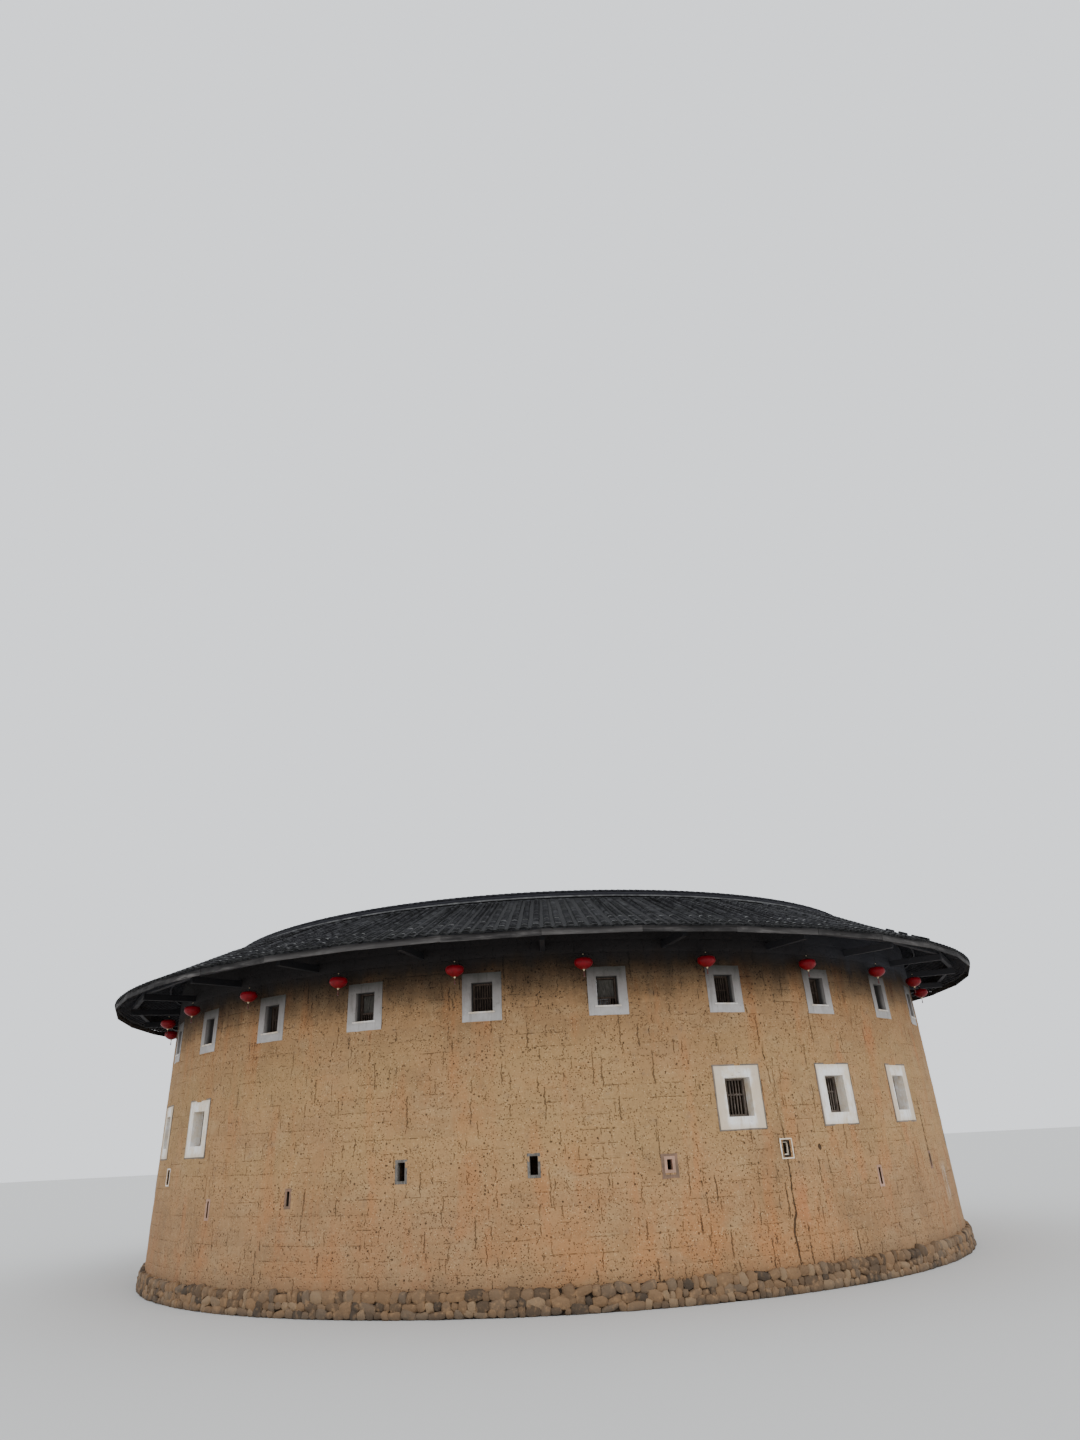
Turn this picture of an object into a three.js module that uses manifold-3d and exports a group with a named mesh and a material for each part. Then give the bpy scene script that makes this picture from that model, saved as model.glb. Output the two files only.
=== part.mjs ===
// A three-storey round earth house: a ring of rammed-earth wall on a rubble plinth, a timber
// gallery house against its inner face, and a tiled ring roof with deep eaves hung with lanterns.
// Units are millimetres, +Z is up, and the origin is on the ground at the centre of the courtyard.
// Bearings are degrees from -Y towards +X, so a piece drawn at -Y is turned to its place about Z.
import * as THREE from "three";
import { mergeVertices } from "three/addons/utils/BufferGeometryUtils.js";
import Module from "manifold-3d";

const wasm = await Module();
wasm.setup();

// Plan
const BAYS = 26;
const BAY = 360 / BAYS;
const GATE_BEARING = -90;
const GAP = 0.3; // between pieces that touch

// Facets of the rings: the wall's face has three to a bay, so that each window sits on a flat one.
const FACE_STEPS = 3 * BAYS;
const ROOF_STEPS = 2 * BAYS;
const TIMBER_STEPS = BAYS;
const BOARD_STEPS = 1.5 * BAYS;

// Heights
const PLINTH_TOP = 620;
const FLOOR_1 = 300;
const FLOOR_2 = 4150;
const FLOOR_3 = 7150;
const TIE_TOP = 10140;
const WALL_TOP = 11050;

// Earth wall: the face leans in as it rises, and the back steps out at each floor.
const WALL_FACE = 16500;
const WALL_FACE_HEIGHT = 9340;
const BATTER = 0.0338;
const WALL_BACK_1 = 15400;
const WALL_BACK_2 = 15520;
const WALL_BACK_3 = 15640;
const PLINTH_FACE_TOP = 16880;
const PLINTH_FACE_FOOT = 16950;
const SEGMENT_BAYS = 2;

// Windows
const UPPER = { width: 700, height: 920, centre: 8610, band: 285 };
const MIDDLE = { width: 920, height: 1140, centre: 5330, band: 340 };
const MIDDLE_BAYS = [1, 2, 3, 6, 8, 9, 12, 14, 15, 17, 21, 22];
const BAND_PROUD = 25;
const BAND_DEPTH = 200;
const VENTS = [
  { width: 240, height: 520, centre: 3730 },
  { width: 170, height: 290, centre: 3560 },
  { width: 240, height: 400, centre: 3800 },
  { width: 120, height: 500, centre: 2820 },
  { width: 120, height: 420, centre: 3110 },
];
const VENT_OFF_BAY_LINE = -1.9;

// Gate
const GATE_CLEAR_WIDTH = 1600;
const GATE_HEAD = 2700;
const GATE_SILL = 400;
const GATE_JAMB = 280;
const GATE_LINTEL = 400;
const GATE_STONE_DEPTH = 500;
const GATE_STONE_PROUD = 60;
const GATE_OUTER_WIDTH = GATE_CLEAR_WIDTH + 2 * GATE_JAMB;
const LEAF_WIDTH = 820;
const LEAF_THICK = 80;

// Timber house
const GALLERY_POST = { at: 10600, width: 180 };
const ROOM_POST = { at: 12100, width: 220 };
const RIDGE_STRUT = { at: 14300, width: 180 };
const BEAM_WIDTH = 160;
const BEAM_DEPTH = 220;
const FLOOR_THICK = 120;
const GALLERY_EDGE = 10200;
const BEAM_INNER_END = 10280;
const BEAM_BEARING = 100;
const TIE_INNER_END = 10120;
const TIE_OUTER_END = 18420;
const PARAPET_AT = 10420;
const PARAPET_THICK = 45;
const PARAPET_HEIGHT = 950;

// Roof: two slopes from the ridge, alike on both sides of it
const RIDGE_AT = 14300;
const ROOF_RUN = 4780;
const EAVE_TOP = 10230;
const ROOF_RISE = 0.42;
const TILE_THICK = 120;
const RAFTER_THICK = 80;
const TILE_OVERHANG = 150;
const FASCIA_THICK = 35;
const FASCIA_HEIGHT = 180;
const RIDGE_HALF_WIDTH = 260;
const RIDGE_CAP_HALF_WIDTH = 130;
const RIDGE_HEIGHT = 170;
const PURLIN_WIDTH = 160;
const PURLIN_DEPTH = 200;
const OUTER_PURLIN_AT = 18300;
const INNER_PURLIN_AT = 10300;
const WALL_PLATE_AT = 16000;

// Lanterns
const LANTERN_AT = 16960;
const LANTERN_CENTRE = 9410;
const LANTERN_OFF_WINDOW = -2.63;
const LANTERN_RADIUS = 300;
const LANTERN_SIDES = 6;
const LANTERN_HALF_HEIGHT = 205;
const LANTERN_CAP_RADIUS = 90;
const LANTERN_CAP_HEIGHT = 40;
const TASSEL_RADIUS = 35;
const TASSEL_LENGTH = 180;
const LANTERN_WIRE = 14;
const BATTEN = 60;

const rad = THREE.MathUtils.degToRad;

// Materials
const paint = (color, roughness) =>
  new THREE.MeshStandardMaterial({ color, roughness, metalness: 0 });
const earth = paint(0xb98d5e, 0.95);
const rubble = paint(0x8a7358, 0.9);
const granite = paint(0x9a958b, 0.8);
const timber = paint(0x4a3a2d, 0.8);
const board = paint(0x6a5643, 0.8);
const tile = paint(0x3a3b3d, 0.85);
const silk = paint(0xb3121b, 0.5);

// A closed mesh as a manifold solid, and a manifold solid as a mesh's geometry
function solid(geometry) {
  const bare = geometry.clone();
  bare.deleteAttribute("normal");
  bare.deleteAttribute("uv");
  const merged = mergeVertices(bare, 1e-3);
  return new wasm.Manifold(
    new wasm.Mesh({
      numProp: 3,
      vertProperties: new Float32Array(merged.attributes.position.array),
      triVerts: new Uint32Array(merged.index.array),
    }),
  );
}

function surface(made) {
  const mesh = made.getMesh();
  const geometry = new THREE.BufferGeometry();
  geometry.setAttribute(
    "position",
    new THREE.BufferAttribute(mesh.vertProperties, 3),
  );
  geometry.setIndex(new THREE.BufferAttribute(mesh.triVerts, 1));
  geometry.computeVertexNormals();
  return geometry;
}

const joined = (solids) => solids.reduce((whole, each) => whole.add(each));

// A ring about Z from a closed outline of [radius, height] points, anticlockwise on a page with
// the radius to the right, with a corner of its plan at bearing 0
function ring(outline, steps) {
  const points = [...outline, outline[0]].map(
    ([r, z]) => new THREE.Vector2(r, z),
  );
  return new THREE.LatheGeometry(points, steps).rotateX(Math.PI / 2);
}

// A box at -Y, by its width along X, its near and far distance from the centre, and its heights
function block(width, near, far, bottom, top) {
  return new THREE.BoxGeometry(width, far - near, top - bottom).translate(
    0,
    -(near + far) / 2,
    (bottom + top) / 2,
  );
}

// A solid of revolution about Z from an open outline that starts and ends on the axis
function disc(outline, steps) {
  const points = outline.map(([r, z]) => new THREE.Vector2(r, z));
  return new THREE.LatheGeometry(points, steps).rotateX(Math.PI / 2);
}

const turned = (geometry, bearing) => geometry.rotateZ(rad(bearing));

// An upright square post at -Y
const post = ({ at, width }, bottom, top) =>
  block(width, at - width / 2, at + width / 2, bottom, top);

// The heights of the roof over a distance from the centre, on either slope
const roofTop = (r) => EAVE_TOP + (ROOF_RUN - Math.abs(r - RIDGE_AT)) * ROOF_RISE;
const roofUnder = (r) => roofTop(r) - TILE_THICK - RAFTER_THICK;

const wallFace = (z) => WALL_FACE + BATTER * (WALL_FACE_HEIGHT - z);
const windowBearing = (bay) => (bay + 0.5) * BAY;

const house = new THREE.Group();

function add(name, geometry, material) {
  const mesh = new THREE.Mesh(geometry, material);
  mesh.name = name;
  house.add(mesh);
}

const numbered = (name, i) => `${name}_${String(i + 1).padStart(2, "0")}`;

// The room inside the wall, wider at each floor, as one solid to cut from the wall and its plinth
function roomSpace() {
  const ledge2 = FLOOR_2 - FLOOR_THICK - BEAM_DEPTH - GAP;
  const ledge3 = FLOOR_3 - FLOOR_THICK - BEAM_DEPTH - GAP;
  const outline = [
    [0, -100],
    [WALL_BACK_1, -100],
    [WALL_BACK_1, ledge2],
    [WALL_BACK_2, ledge2],
    [WALL_BACK_2, ledge3],
    [WALL_BACK_3, ledge3],
    [WALL_BACK_3, WALL_TOP + 100],
    [0, WALL_TOP + 100],
  ];
  return solid(disc(outline, ROOF_STEPS));
}

// Stone plinth, lowered where the gate passes over it
function stonePlinth() {
  const whole = disc(
    [
      [0, 0],
      [PLINTH_FACE_FOOT, 0],
      [PLINTH_FACE_TOP, PLINTH_TOP],
      [0, PLINTH_TOP],
    ],
    FACE_STEPS,
  );
  const passage = wallHole(GATE_OUTER_WIDTH + 2 * GAP, FLOOR_1, PLINTH_TOP + 100);
  return solid(whole)
    .subtract(roomSpace())
    .subtract(solid(turned(passage, GATE_BEARING)));
}

// A straight cutter through the wall at -Y
const wallHole = (width, bottom, top) =>
  block(width, WALL_BACK_1 - 500, PLINTH_FACE_FOOT + 500, bottom, top);

function windowHole({ width, height, centre }, bearing) {
  const hole = wallHole(width, centre - height / 2, centre + height / 2);
  return solid(turned(hole, bearing));
}

// The plaster round a window, a plate let into the face and a little proud of it
function plasterBand({ width, height, centre, band }, bearing) {
  const face = wallFace(centre) * Math.cos(Math.PI / FACE_STEPS);
  const plate = new THREE.BoxGeometry(
    width + 2 * band,
    BAND_PROUD + BAND_DEPTH,
    height + 2 * band,
  )
    .translate(0, (BAND_DEPTH - BAND_PROUD) / 2, 0)
    .rotateX(-Math.atan(BATTER))
    .translate(0, -face, centre);
  return solid(turned(plate, bearing));
}

// The whole earth wall, before it is cut into segments
function earthWall() {
  const foot = PLINTH_TOP + GAP;
  const mass = disc(
    [
      [0, foot],
      [wallFace(foot), foot],
      [wallFace(WALL_TOP), WALL_TOP],
      [0, WALL_TOP],
    ],
    FACE_STEPS,
  );
  const gate = wallHole(GATE_OUTER_WIDTH + 2 * GAP, FLOOR_1, GATE_HEAD + GATE_LINTEL + GAP);
  const bands = [];
  const holes = [solid(turned(gate, GATE_BEARING))];
  for (let bay = 0; bay < BAYS; bay++) {
    const tie = wallHole(BEAM_WIDTH + 2 * GAP, TIE_TOP - BEAM_DEPTH - GAP, TIE_TOP + GAP);
    bands.push(plasterBand(UPPER, windowBearing(bay)));
    holes.push(windowHole(UPPER, windowBearing(bay)));
    holes.push(windowHole(VENTS[bay % VENTS.length], bay * BAY + VENT_OFF_BAY_LINE));
    holes.push(solid(turned(tie, bay * BAY)));
  }
  for (const bay of MIDDLE_BAYS) {
    bands.push(plasterBand(MIDDLE, windowBearing(bay)));
    holes.push(windowHole(MIDDLE, windowBearing(bay)));
  }
  return joined([solid(mass), ...bands])
    .subtract(roomSpace())
    .subtract(joined(holes));
}

// A wedge of the plan between two bearings, less half a gap on each side
function wedge(from, to) {
  const reach = 2 * PLINTH_FACE_FOOT;
  const shave = Math.asin(GAP / 2 / WALL_BACK_1);
  const corner = (bearing) =>
    new THREE.Vector2(reach * Math.sin(bearing), -reach * Math.cos(bearing));
  const outline = new THREE.Shape([
    new THREE.Vector2(0, 0),
    corner(rad(from) + shave),
    corner(rad(to) - shave),
  ]);
  return solid(
    new THREE.ExtrudeGeometry(outline, {
      depth: WALL_TOP + 500,
      bevelEnabled: false,
    }),
  );
}

function buildWalls() {
  add("stone_plinth", surface(stonePlinth()), rubble);
  const whole = earthWall();
  for (let i = 0; i < BAYS / SEGMENT_BAYS; i++) {
    const from = i * SEGMENT_BAYS * BAY;
    const piece = whole.intersect(wedge(from, from + SEGMENT_BAYS * BAY));
    add(numbered("earth_wall", i), surface(piece), earth);
  }
}

// Stone frame and open leaves of the gate
function buildGate() {
  const face = wallFace((GATE_SILL + GATE_HEAD) / 2) + GATE_STONE_PROUD;
  const back = face - GATE_STONE_DEPTH;
  const frame = block(
    GATE_OUTER_WIDTH,
    back,
    face,
    FLOOR_1 + GAP,
    GATE_HEAD + GATE_LINTEL,
  );
  const opening = block(
    GATE_CLEAR_WIDTH,
    back - 100,
    face + 100,
    GATE_SILL,
    GATE_HEAD,
  );
  add(
    "gate_surround",
    turned(surface(solid(frame).subtract(solid(opening))), GATE_BEARING),
    granite,
  );
  for (const [name, side] of [
    ["gate_leaf_left", -1],
    ["gate_leaf_right", 1],
  ]) {
    const leaf = block(
      LEAF_THICK,
      back - GAP - LEAF_WIDTH,
      back - GAP,
      FLOOR_1 + 2 * GAP,
      GATE_HEAD + 60,
    ).translate(side * (GATE_OUTER_WIDTH / 2 - LEAF_THICK / 2 - 60), 0, 0);
    add(name, turned(leaf, GATE_BEARING), board);
  }
}

// Floors: each is one ring, the ground floor tamped earth and the upper ones boards
function floorRing(inner, outer, bottom, top, steps) {
  return ring(
    [
      [inner, bottom],
      [outer, bottom],
      [outer, top],
      [inner, top],
    ],
    steps,
  );
}

// One storey's floor, from the parapet to the wall, cut round the posts that pass through it
function storeyFloor(level, back) {
  const inner = PARAPET_AT + PARAPET_THICK + 5;
  const under = level - FLOOR_THICK + GAP;
  const floor = floorRing(inner, back - GAP, under, level, ROOF_STEPS);
  const cut = ({ at, width }, near) =>
    block(width + 2 * GAP, near, at + width / 2 + GAP, under - 100, level + 100);
  const cuts = [];
  for (let bay = 0; bay < BAYS; bay++) {
    const gallery = cut(GALLERY_POST, inner - 200);
    const room = cut(ROOM_POST, ROOM_POST.at - ROOM_POST.width / 2 - GAP);
    cuts.push(solid(turned(gallery, bay * BAY)), solid(turned(room, bay * BAY)));
  }
  return solid(floor).subtract(joined(cuts));
}

function buildFloors() {
  add(
    "ground_floor",
    floorRing(GALLERY_EDGE, WALL_BACK_1 - GAP, 0, FLOOR_1, ROOF_STEPS),
    rubble,
  );
  for (const [name, level, back] of [
    ["second_floor", FLOOR_2, WALL_BACK_2],
    ["third_floor", FLOOR_3, WALL_BACK_3],
  ]) {
    add(name, surface(storeyFloor(level, back)), board);
    add(
      `${name}_parapet`,
      floorRing(
        PARAPET_AT,
        PARAPET_AT + PARAPET_THICK,
        level - FLOOR_THICK + GAP,
        level + PARAPET_HEIGHT,
        ROOF_STEPS,
      ),
      board,
    );
  }
}

// One radial frame: two posts, a beam under each upper floor, the tie beam that passes through
// the wall to carry the eave, and the strut under the ridge
function radialFrame(bearing) {
  const foot = FLOOR_1 + GAP;
  const beam = (top, near, far) =>
    block(BEAM_WIDTH, near, far, top - BEAM_DEPTH, top);
  const members = [
    post(GALLERY_POST, foot, TIE_TOP - BEAM_DEPTH / 2),
    post(ROOM_POST, foot, purlinBottom(ROOM_POST.at) - GAP),
    post(RIDGE_STRUT, TIE_TOP - BEAM_DEPTH / 2, purlinBottom(RIDGE_AT) - GAP),
    beam(FLOOR_2 - FLOOR_THICK, BEAM_INNER_END, WALL_BACK_1 + BEAM_BEARING),
    beam(FLOOR_3 - FLOOR_THICK, BEAM_INNER_END, WALL_BACK_2 + BEAM_BEARING),
    beam(TIE_TOP, TIE_INNER_END, TIE_OUTER_END),
  ];
  return members.map((member) => solid(turned(member, bearing)));
}

// A straight tie from one room post to the next, under the roof, or stopped short of the next one
function ringTie(bearing, short) {
  const { at, width } = ROOM_POST;
  const half = at * Math.sin(rad(BAY / 2));
  const clear = (width / 2) * (1 + Math.sin(rad(BAY / 2))) + GAP;
  const end = short ? half - clear / Math.cos(rad(BAY / 2)) : half;
  const distance = at * Math.cos(rad(BAY / 2));
  const tie = new THREE.BoxGeometry(half + end, BEAM_WIDTH, BEAM_DEPTH).translate(
    (end - half) / 2,
    -distance,
    TIE_TOP - BEAM_DEPTH / 2,
  );
  return solid(turned(tie, bearing + BAY / 2));
}

const purlinUnder = (r) =>
  Math.min(roofUnder(r), roofUnder(r * Math.cos(rad(BAY / 2))));
function purlinBottom(r) {
  return purlinUnder(r) - PURLIN_DEPTH;
}

// Two radial frames and the ties from them
function timberFrame(i) {
  const first = i * SEGMENT_BAYS * BAY;
  const second = first + BAY;
  return joined([
    ...radialFrame(first),
    ...radialFrame(second),
    ringTie(first, false),
    ringTie(second, true),
  ]);
}

function buildTimber() {
  for (let i = 0; i < BAYS / SEGMENT_BAYS; i++)
    add(numbered("timber_frame", i), surface(timberFrame(i)), timber);
}

// A purlin ring with a flat foot and a top that follows the roof
function purlin(at, bottom, steps) {
  const near = at - PURLIN_WIDTH / 2;
  const far = at + PURLIN_WIDTH / 2;
  const shrink = Math.cos(Math.PI / steps);
  const top = (r) => Math.min(roofUnder(r), roofUnder(r * shrink)) - GAP;
  return ring(
    [
      [near, bottom],
      [far, bottom],
      [far, top(far)],
      ...(near < RIDGE_AT && far > RIDGE_AT ? [[RIDGE_AT, top(RIDGE_AT)]] : []),
      [near, top(near)],
    ],
    steps,
  );
}

function buildPurlins() {
  add("outer_eave_purlin", purlin(OUTER_PURLIN_AT, TIE_TOP + GAP, TIMBER_STEPS), timber);
  add("inner_eave_purlin", purlin(INNER_PURLIN_AT, TIE_TOP + GAP, TIMBER_STEPS), timber);
  add("room_purlin", purlin(ROOM_POST.at, purlinBottom(ROOM_POST.at), TIMBER_STEPS), timber);
  add("ridge_purlin", purlin(RIDGE_AT, purlinBottom(RIDGE_AT), TIMBER_STEPS), timber);
  add("wall_plate", purlin(WALL_PLATE_AT, WALL_TOP + GAP, ROOF_STEPS), timber);
}

// One slope of the roof, tiles over rafters, with the tiles standing out past the rafter ends
function roofSlope(side) {
  const at = (run) => RIDGE_AT + side * run;
  const foot = (run, drop) => [at(run), roofTop(at(run)) - drop];
  const outline = [
    foot(GAP, 0),
    foot(GAP, TILE_THICK + RAFTER_THICK),
    foot(ROOF_RUN - TILE_OVERHANG, TILE_THICK + RAFTER_THICK),
    foot(ROOF_RUN - TILE_OVERHANG, TILE_THICK),
    foot(ROOF_RUN, TILE_THICK),
    foot(ROOF_RUN, 0),
  ];
  return ring(side > 0 ? outline : outline.reverse(), ROOF_STEPS);
}

// The eave boards, straight lengths on the rafter ends and under the tiles
function fascia(side) {
  const rafterEnd = RIDGE_AT + side * (ROOF_RUN - TILE_OVERHANG);
  const boardBow = Math.cos(Math.PI / BOARD_STEPS);
  const roofBow = Math.cos(Math.PI / ROOF_STEPS);
  const outerNear = (rafterEnd + GAP) / boardBow;
  const innerNear = rafterEnd * roofBow - GAP - FASCIA_THICK;
  const near = side > 0 ? outerNear : innerNear;
  const edge = side > 0 ? (near + FASCIA_THICK) / roofBow : near * boardBow;
  const top = roofTop(edge) - TILE_THICK - GAP;
  return floorRing(near, near + FASCIA_THICK, top - FASCIA_HEIGHT, top, BOARD_STEPS);
}

function ridgeCoping() {
  const seat = (r) => [r, roofTop(r) + GAP];
  const crown = roofTop(RIDGE_AT) + RIDGE_HEIGHT;
  return ring(
    [
      seat(RIDGE_AT - RIDGE_HALF_WIDTH),
      seat(RIDGE_AT),
      seat(RIDGE_AT + RIDGE_HALF_WIDTH),
      [RIDGE_AT + RIDGE_CAP_HALF_WIDTH, crown],
      [RIDGE_AT - RIDGE_CAP_HALF_WIDTH, crown],
    ],
    ROOF_STEPS,
  );
}

function buildRoof() {
  add("outer_roof", roofSlope(1), tile);
  add("inner_roof", roofSlope(-1), tile);
  add("roof_ridge", ridgeCoping(), tile);
  add("outer_fascia", fascia(1), board);
  add("inner_fascia", fascia(-1), board);
}

// Lanterns on wires from a batten nailed under the rafters, one beside the head of each window
function lantern(bearing, batten) {
  const low = -LANTERN_HALF_HEIGHT - LANTERN_CAP_HEIGHT;
  const profile = [
    [0, low - TASSEL_LENGTH],
    [TASSEL_RADIUS, low - TASSEL_LENGTH],
    [TASSEL_RADIUS, low],
    [LANTERN_CAP_RADIUS, low],
    [LANTERN_RADIUS, low / 3],
    [LANTERN_RADIUS, -low / 3],
    [LANTERN_CAP_RADIUS, -low],
    [0, -low],
  ];
  const wireTop = batten - LANTERN_CENTRE;
  const wire = new THREE.BoxGeometry(LANTERN_WIRE, LANTERN_WIRE, wireTop).translate(
    0,
    0,
    wireTop / 2,
  );
  const parts = [disc(profile, LANTERN_SIDES), wire].map((piece) =>
    solid(turned(piece.translate(0, -LANTERN_AT, LANTERN_CENTRE), bearing)),
  );
  return joined(parts);
}

function buildLanterns() {
  const half = rad(BAY / 2);
  const at = (LANTERN_AT * Math.cos(rad(LANTERN_OFF_WINDOW))) / Math.cos(half);
  const near = at - BATTEN / 2;
  const far = near + BATTEN;
  const bottom = roofUnder(far) - BATTEN;
  const batten = ring(
    [
      [near, bottom],
      [far, bottom],
      [far, roofUnder(far) - GAP],
      [near, roofUnder(near) - GAP],
    ],
    TIMBER_STEPS,
  );
  const hung = [solid(batten)];
  for (let bay = 0; bay < BAYS; bay++)
    hung.push(lantern(windowBearing(bay) + LANTERN_OFF_WINDOW, bottom + BATTEN / 2));
  add("eave_lanterns", surface(joined(hung)), silk);
}

buildWalls();
buildGate();
buildFloors();
buildTimber();
buildPurlins();
buildRoof();
buildLanterns();

export default house;
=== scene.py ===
import math
import random
from contextlib import contextmanager

import bmesh
import bpy
from mathutils import Matrix, Vector


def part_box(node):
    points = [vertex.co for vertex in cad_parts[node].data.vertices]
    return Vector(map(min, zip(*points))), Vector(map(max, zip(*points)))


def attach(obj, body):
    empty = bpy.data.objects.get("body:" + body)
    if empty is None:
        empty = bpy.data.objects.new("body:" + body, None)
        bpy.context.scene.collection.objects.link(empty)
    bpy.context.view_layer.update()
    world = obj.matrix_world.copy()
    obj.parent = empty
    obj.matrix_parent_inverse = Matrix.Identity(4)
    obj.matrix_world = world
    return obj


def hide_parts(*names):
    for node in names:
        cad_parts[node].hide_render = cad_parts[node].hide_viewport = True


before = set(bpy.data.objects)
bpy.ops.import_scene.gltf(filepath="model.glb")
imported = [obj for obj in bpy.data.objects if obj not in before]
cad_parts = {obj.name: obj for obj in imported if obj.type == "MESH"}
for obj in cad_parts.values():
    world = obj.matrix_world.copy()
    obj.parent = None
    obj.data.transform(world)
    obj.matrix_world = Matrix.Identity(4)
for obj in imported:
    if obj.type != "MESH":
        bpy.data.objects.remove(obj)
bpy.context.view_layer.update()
dice = random.Random(26)

# Metres. Bearings are degrees from -Y towards +X, as in the part's source, and a piece that
# repeats round the ring is modelled at -Y and turned to its place.
BAYS = 26
BAY = 360 / BAYS
MIDDLE_BAYS = [1, 2, 3, 6, 8, 9, 12, 14, 15, 17, 21, 22]
GATE_BAY = 19
SEGMENTS = BAYS // 2  # two bays to a wall segment
LIFT = 0.4  # one layer of rammed earth
PLINTH_TOP = 0.62
WALL_TOP = 11.05
BATTER = 0.0338
LEAN = math.atan(BATTER)
FACET = math.cos(math.pi / (3 * BAYS))  # three flats to a bay in the solids

UPPER = {"width": 0.70, "height": 0.92, "centre": 8.61, "band": 0.285}
MIDDLE = {"width": 0.92, "height": 1.14, "centre": 5.33, "band": 0.34}
VENTS = [
    {"width": 0.24, "height": 0.51, "centre": 3.73},
    {"width": 0.17, "height": 0.29, "centre": 3.56},
    {"width": 0.24, "height": 0.40, "centre": 3.80},
    {"width": 0.12, "height": 0.50, "centre": 2.82},
    {"width": 0.12, "height": 0.42, "centre": 3.11},
]
VENT_OFF_BAY_LINE = -1.9

RIDGE_AT = 14.3
ROOF_RUN = 4.78
ROOF_RISE = 0.42
SLOPE = math.atan(ROOF_RISE)
OUTER_ROWS = 13 * BAYS
INNER_ROWS = 10 * BAYS
COURSES = 25

LANTERN_AT = 16.96
LANTERN_CENTRE = 9.41
LANTERN_OFF_WINDOW = -2.63


def wall_face(z):
    return 16.5 + BATTER * (9.34 - z)


def roof_top(r):
    return 10.23 + (ROOF_RUN - abs(r - RIDGE_AT)) * ROOF_RISE


RIDGE_TOP = roof_top(RIDGE_AT)


def evenly(count, shift=0.0):
    """Bearings of a number of places round the ring, shifted by a part of a step."""
    return [360 / count * (i + shift) for i in range(count)]


WINDOW_BEARINGS = evenly(BAYS, 0.5)


# ---------------------------------------------------------------- modelling


def pick_objects(*objects):
    bpy.ops.object.select_all(action="DESELECT")
    for one in objects:
        one.select_set(True)
    bpy.context.view_layer.objects.active = objects[0]


def added(primitive, **settings):
    """The piece that a primitive's operator adds, with nothing else selected."""
    bpy.ops.object.select_all(action="DESELECT")
    primitive(**settings)
    return bpy.context.object


def choose_all():
    bpy.ops.mesh.select_all(action="SELECT")


@contextmanager
def editing(piece):
    pick_objects(piece)
    bpy.ops.object.mode_set(mode="EDIT")
    choose_all()
    yield
    bpy.ops.object.mode_set(mode="OBJECT")


def choose(kind, test):
    """Selects the faces, edges or corners of the mesh being edited that pass the test."""
    bpy.ops.mesh.select_mode(type=kind)
    bpy.ops.mesh.select_all(action="DESELECT")
    mesh = bmesh.from_edit_mesh(bpy.context.object.data)
    for part in {"FACE": mesh.faces, "EDGE": mesh.edges, "VERT": mesh.verts}[kind]:
        if test(part):
            part.select_set(True)
    mesh.select_flush_mode()
    bmesh.update_edit_mesh(bpy.context.object.data)


def pull(way):
    """Extrudes what is selected."""
    bpy.ops.mesh.extrude_region_move(TRANSFORM_OT_translate={"value": way})


def sweep(degrees, steps):
    """Spins what is selected about Z, towards greater bearings."""
    bpy.ops.mesh.spin(steps=steps, angle=-math.radians(degrees), center=(0, 0, 0), axis=(0, 0, 1))


def scale_about(point, x, y, z):
    """Scales what is selected."""
    bpy.ops.transform.resize(value=(x, y, z), center_override=point)


def face_outward():
    """Turns all faces of the mesh being edited outwards."""
    choose_all()
    bpy.ops.mesh.normals_make_consistent(inside=False)


def settle(piece):
    """Puts a piece's place, turn and size into its mesh."""
    pick_objects(piece)
    bpy.ops.object.transform_apply(location=True, rotation=True, scale=True)
    return piece


def place(piece, move=(0, 0, 0), turn=(0, 0, 0), size=(1, 1, 1)):
    piece.location = move
    piece.rotation_euler = turn
    piece.scale = size
    return settle(piece)


def shaped(piece, kind, **settings):
    """Adds a modifier and applies it."""
    modifier = piece.modifiers.new(kind.title(), kind)
    for name, value in settings.items():
        setattr(modifier, name, value)
    pick_objects(piece)
    bpy.ops.object.modifier_apply(modifier=modifier.name)
    return piece


def clouds(name, size):
    texture = bpy.data.textures.new(name, "CLOUDS")
    texture.noise_scale = size
    return texture


def made_uneven(piece, texture, depth):
    return shaped(piece, "DISPLACE", texture=texture, texture_coords="GLOBAL", strength=depth, mid_level=0.5)


def outward(piece, merge=0.0002):
    """Merges doubles and turns a closed piece's faces outwards."""
    with editing(piece):
        bpy.ops.mesh.remove_doubles(threshold=merge)
        face_outward()
    return piece


def turned_over(piece):
    with editing(piece):
        bpy.ops.mesh.flip_normals()
    return piece


def smoothed(piece, angle):
    pick_objects(piece)
    bpy.ops.object.shade_smooth_by_angle(angle=math.radians(angle))
    return piece


def timber_block(size, centre, edge=0.006, turn=(0, 0, 0)):
    """A squared block with eased edges."""
    piece = place(added(bpy.ops.mesh.primitive_cube_add, size=1), size=size)
    with editing(piece):
        bpy.ops.mesh.bevel(offset=edge, segments=1, affect="EDGES")
    return place(piece, move=centre, turn=turn)


def drum(radius, depth, centre, sides, edge=0.0, top=None):
    """An upright turned block, with its rims eased."""
    piece = added(
        bpy.ops.mesh.primitive_cone_add, vertices=sides, radius1=radius, radius2=top or radius, depth=depth
    )
    if edge:
        with editing(piece):
            choose("EDGE", lambda e: abs(e.verts[0].co.z - e.verts[1].co.z) < 1e-4)
            bpy.ops.mesh.bevel(offset=edge, segments=1, affect="EDGES")
    return place(piece, move=centre)


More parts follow.
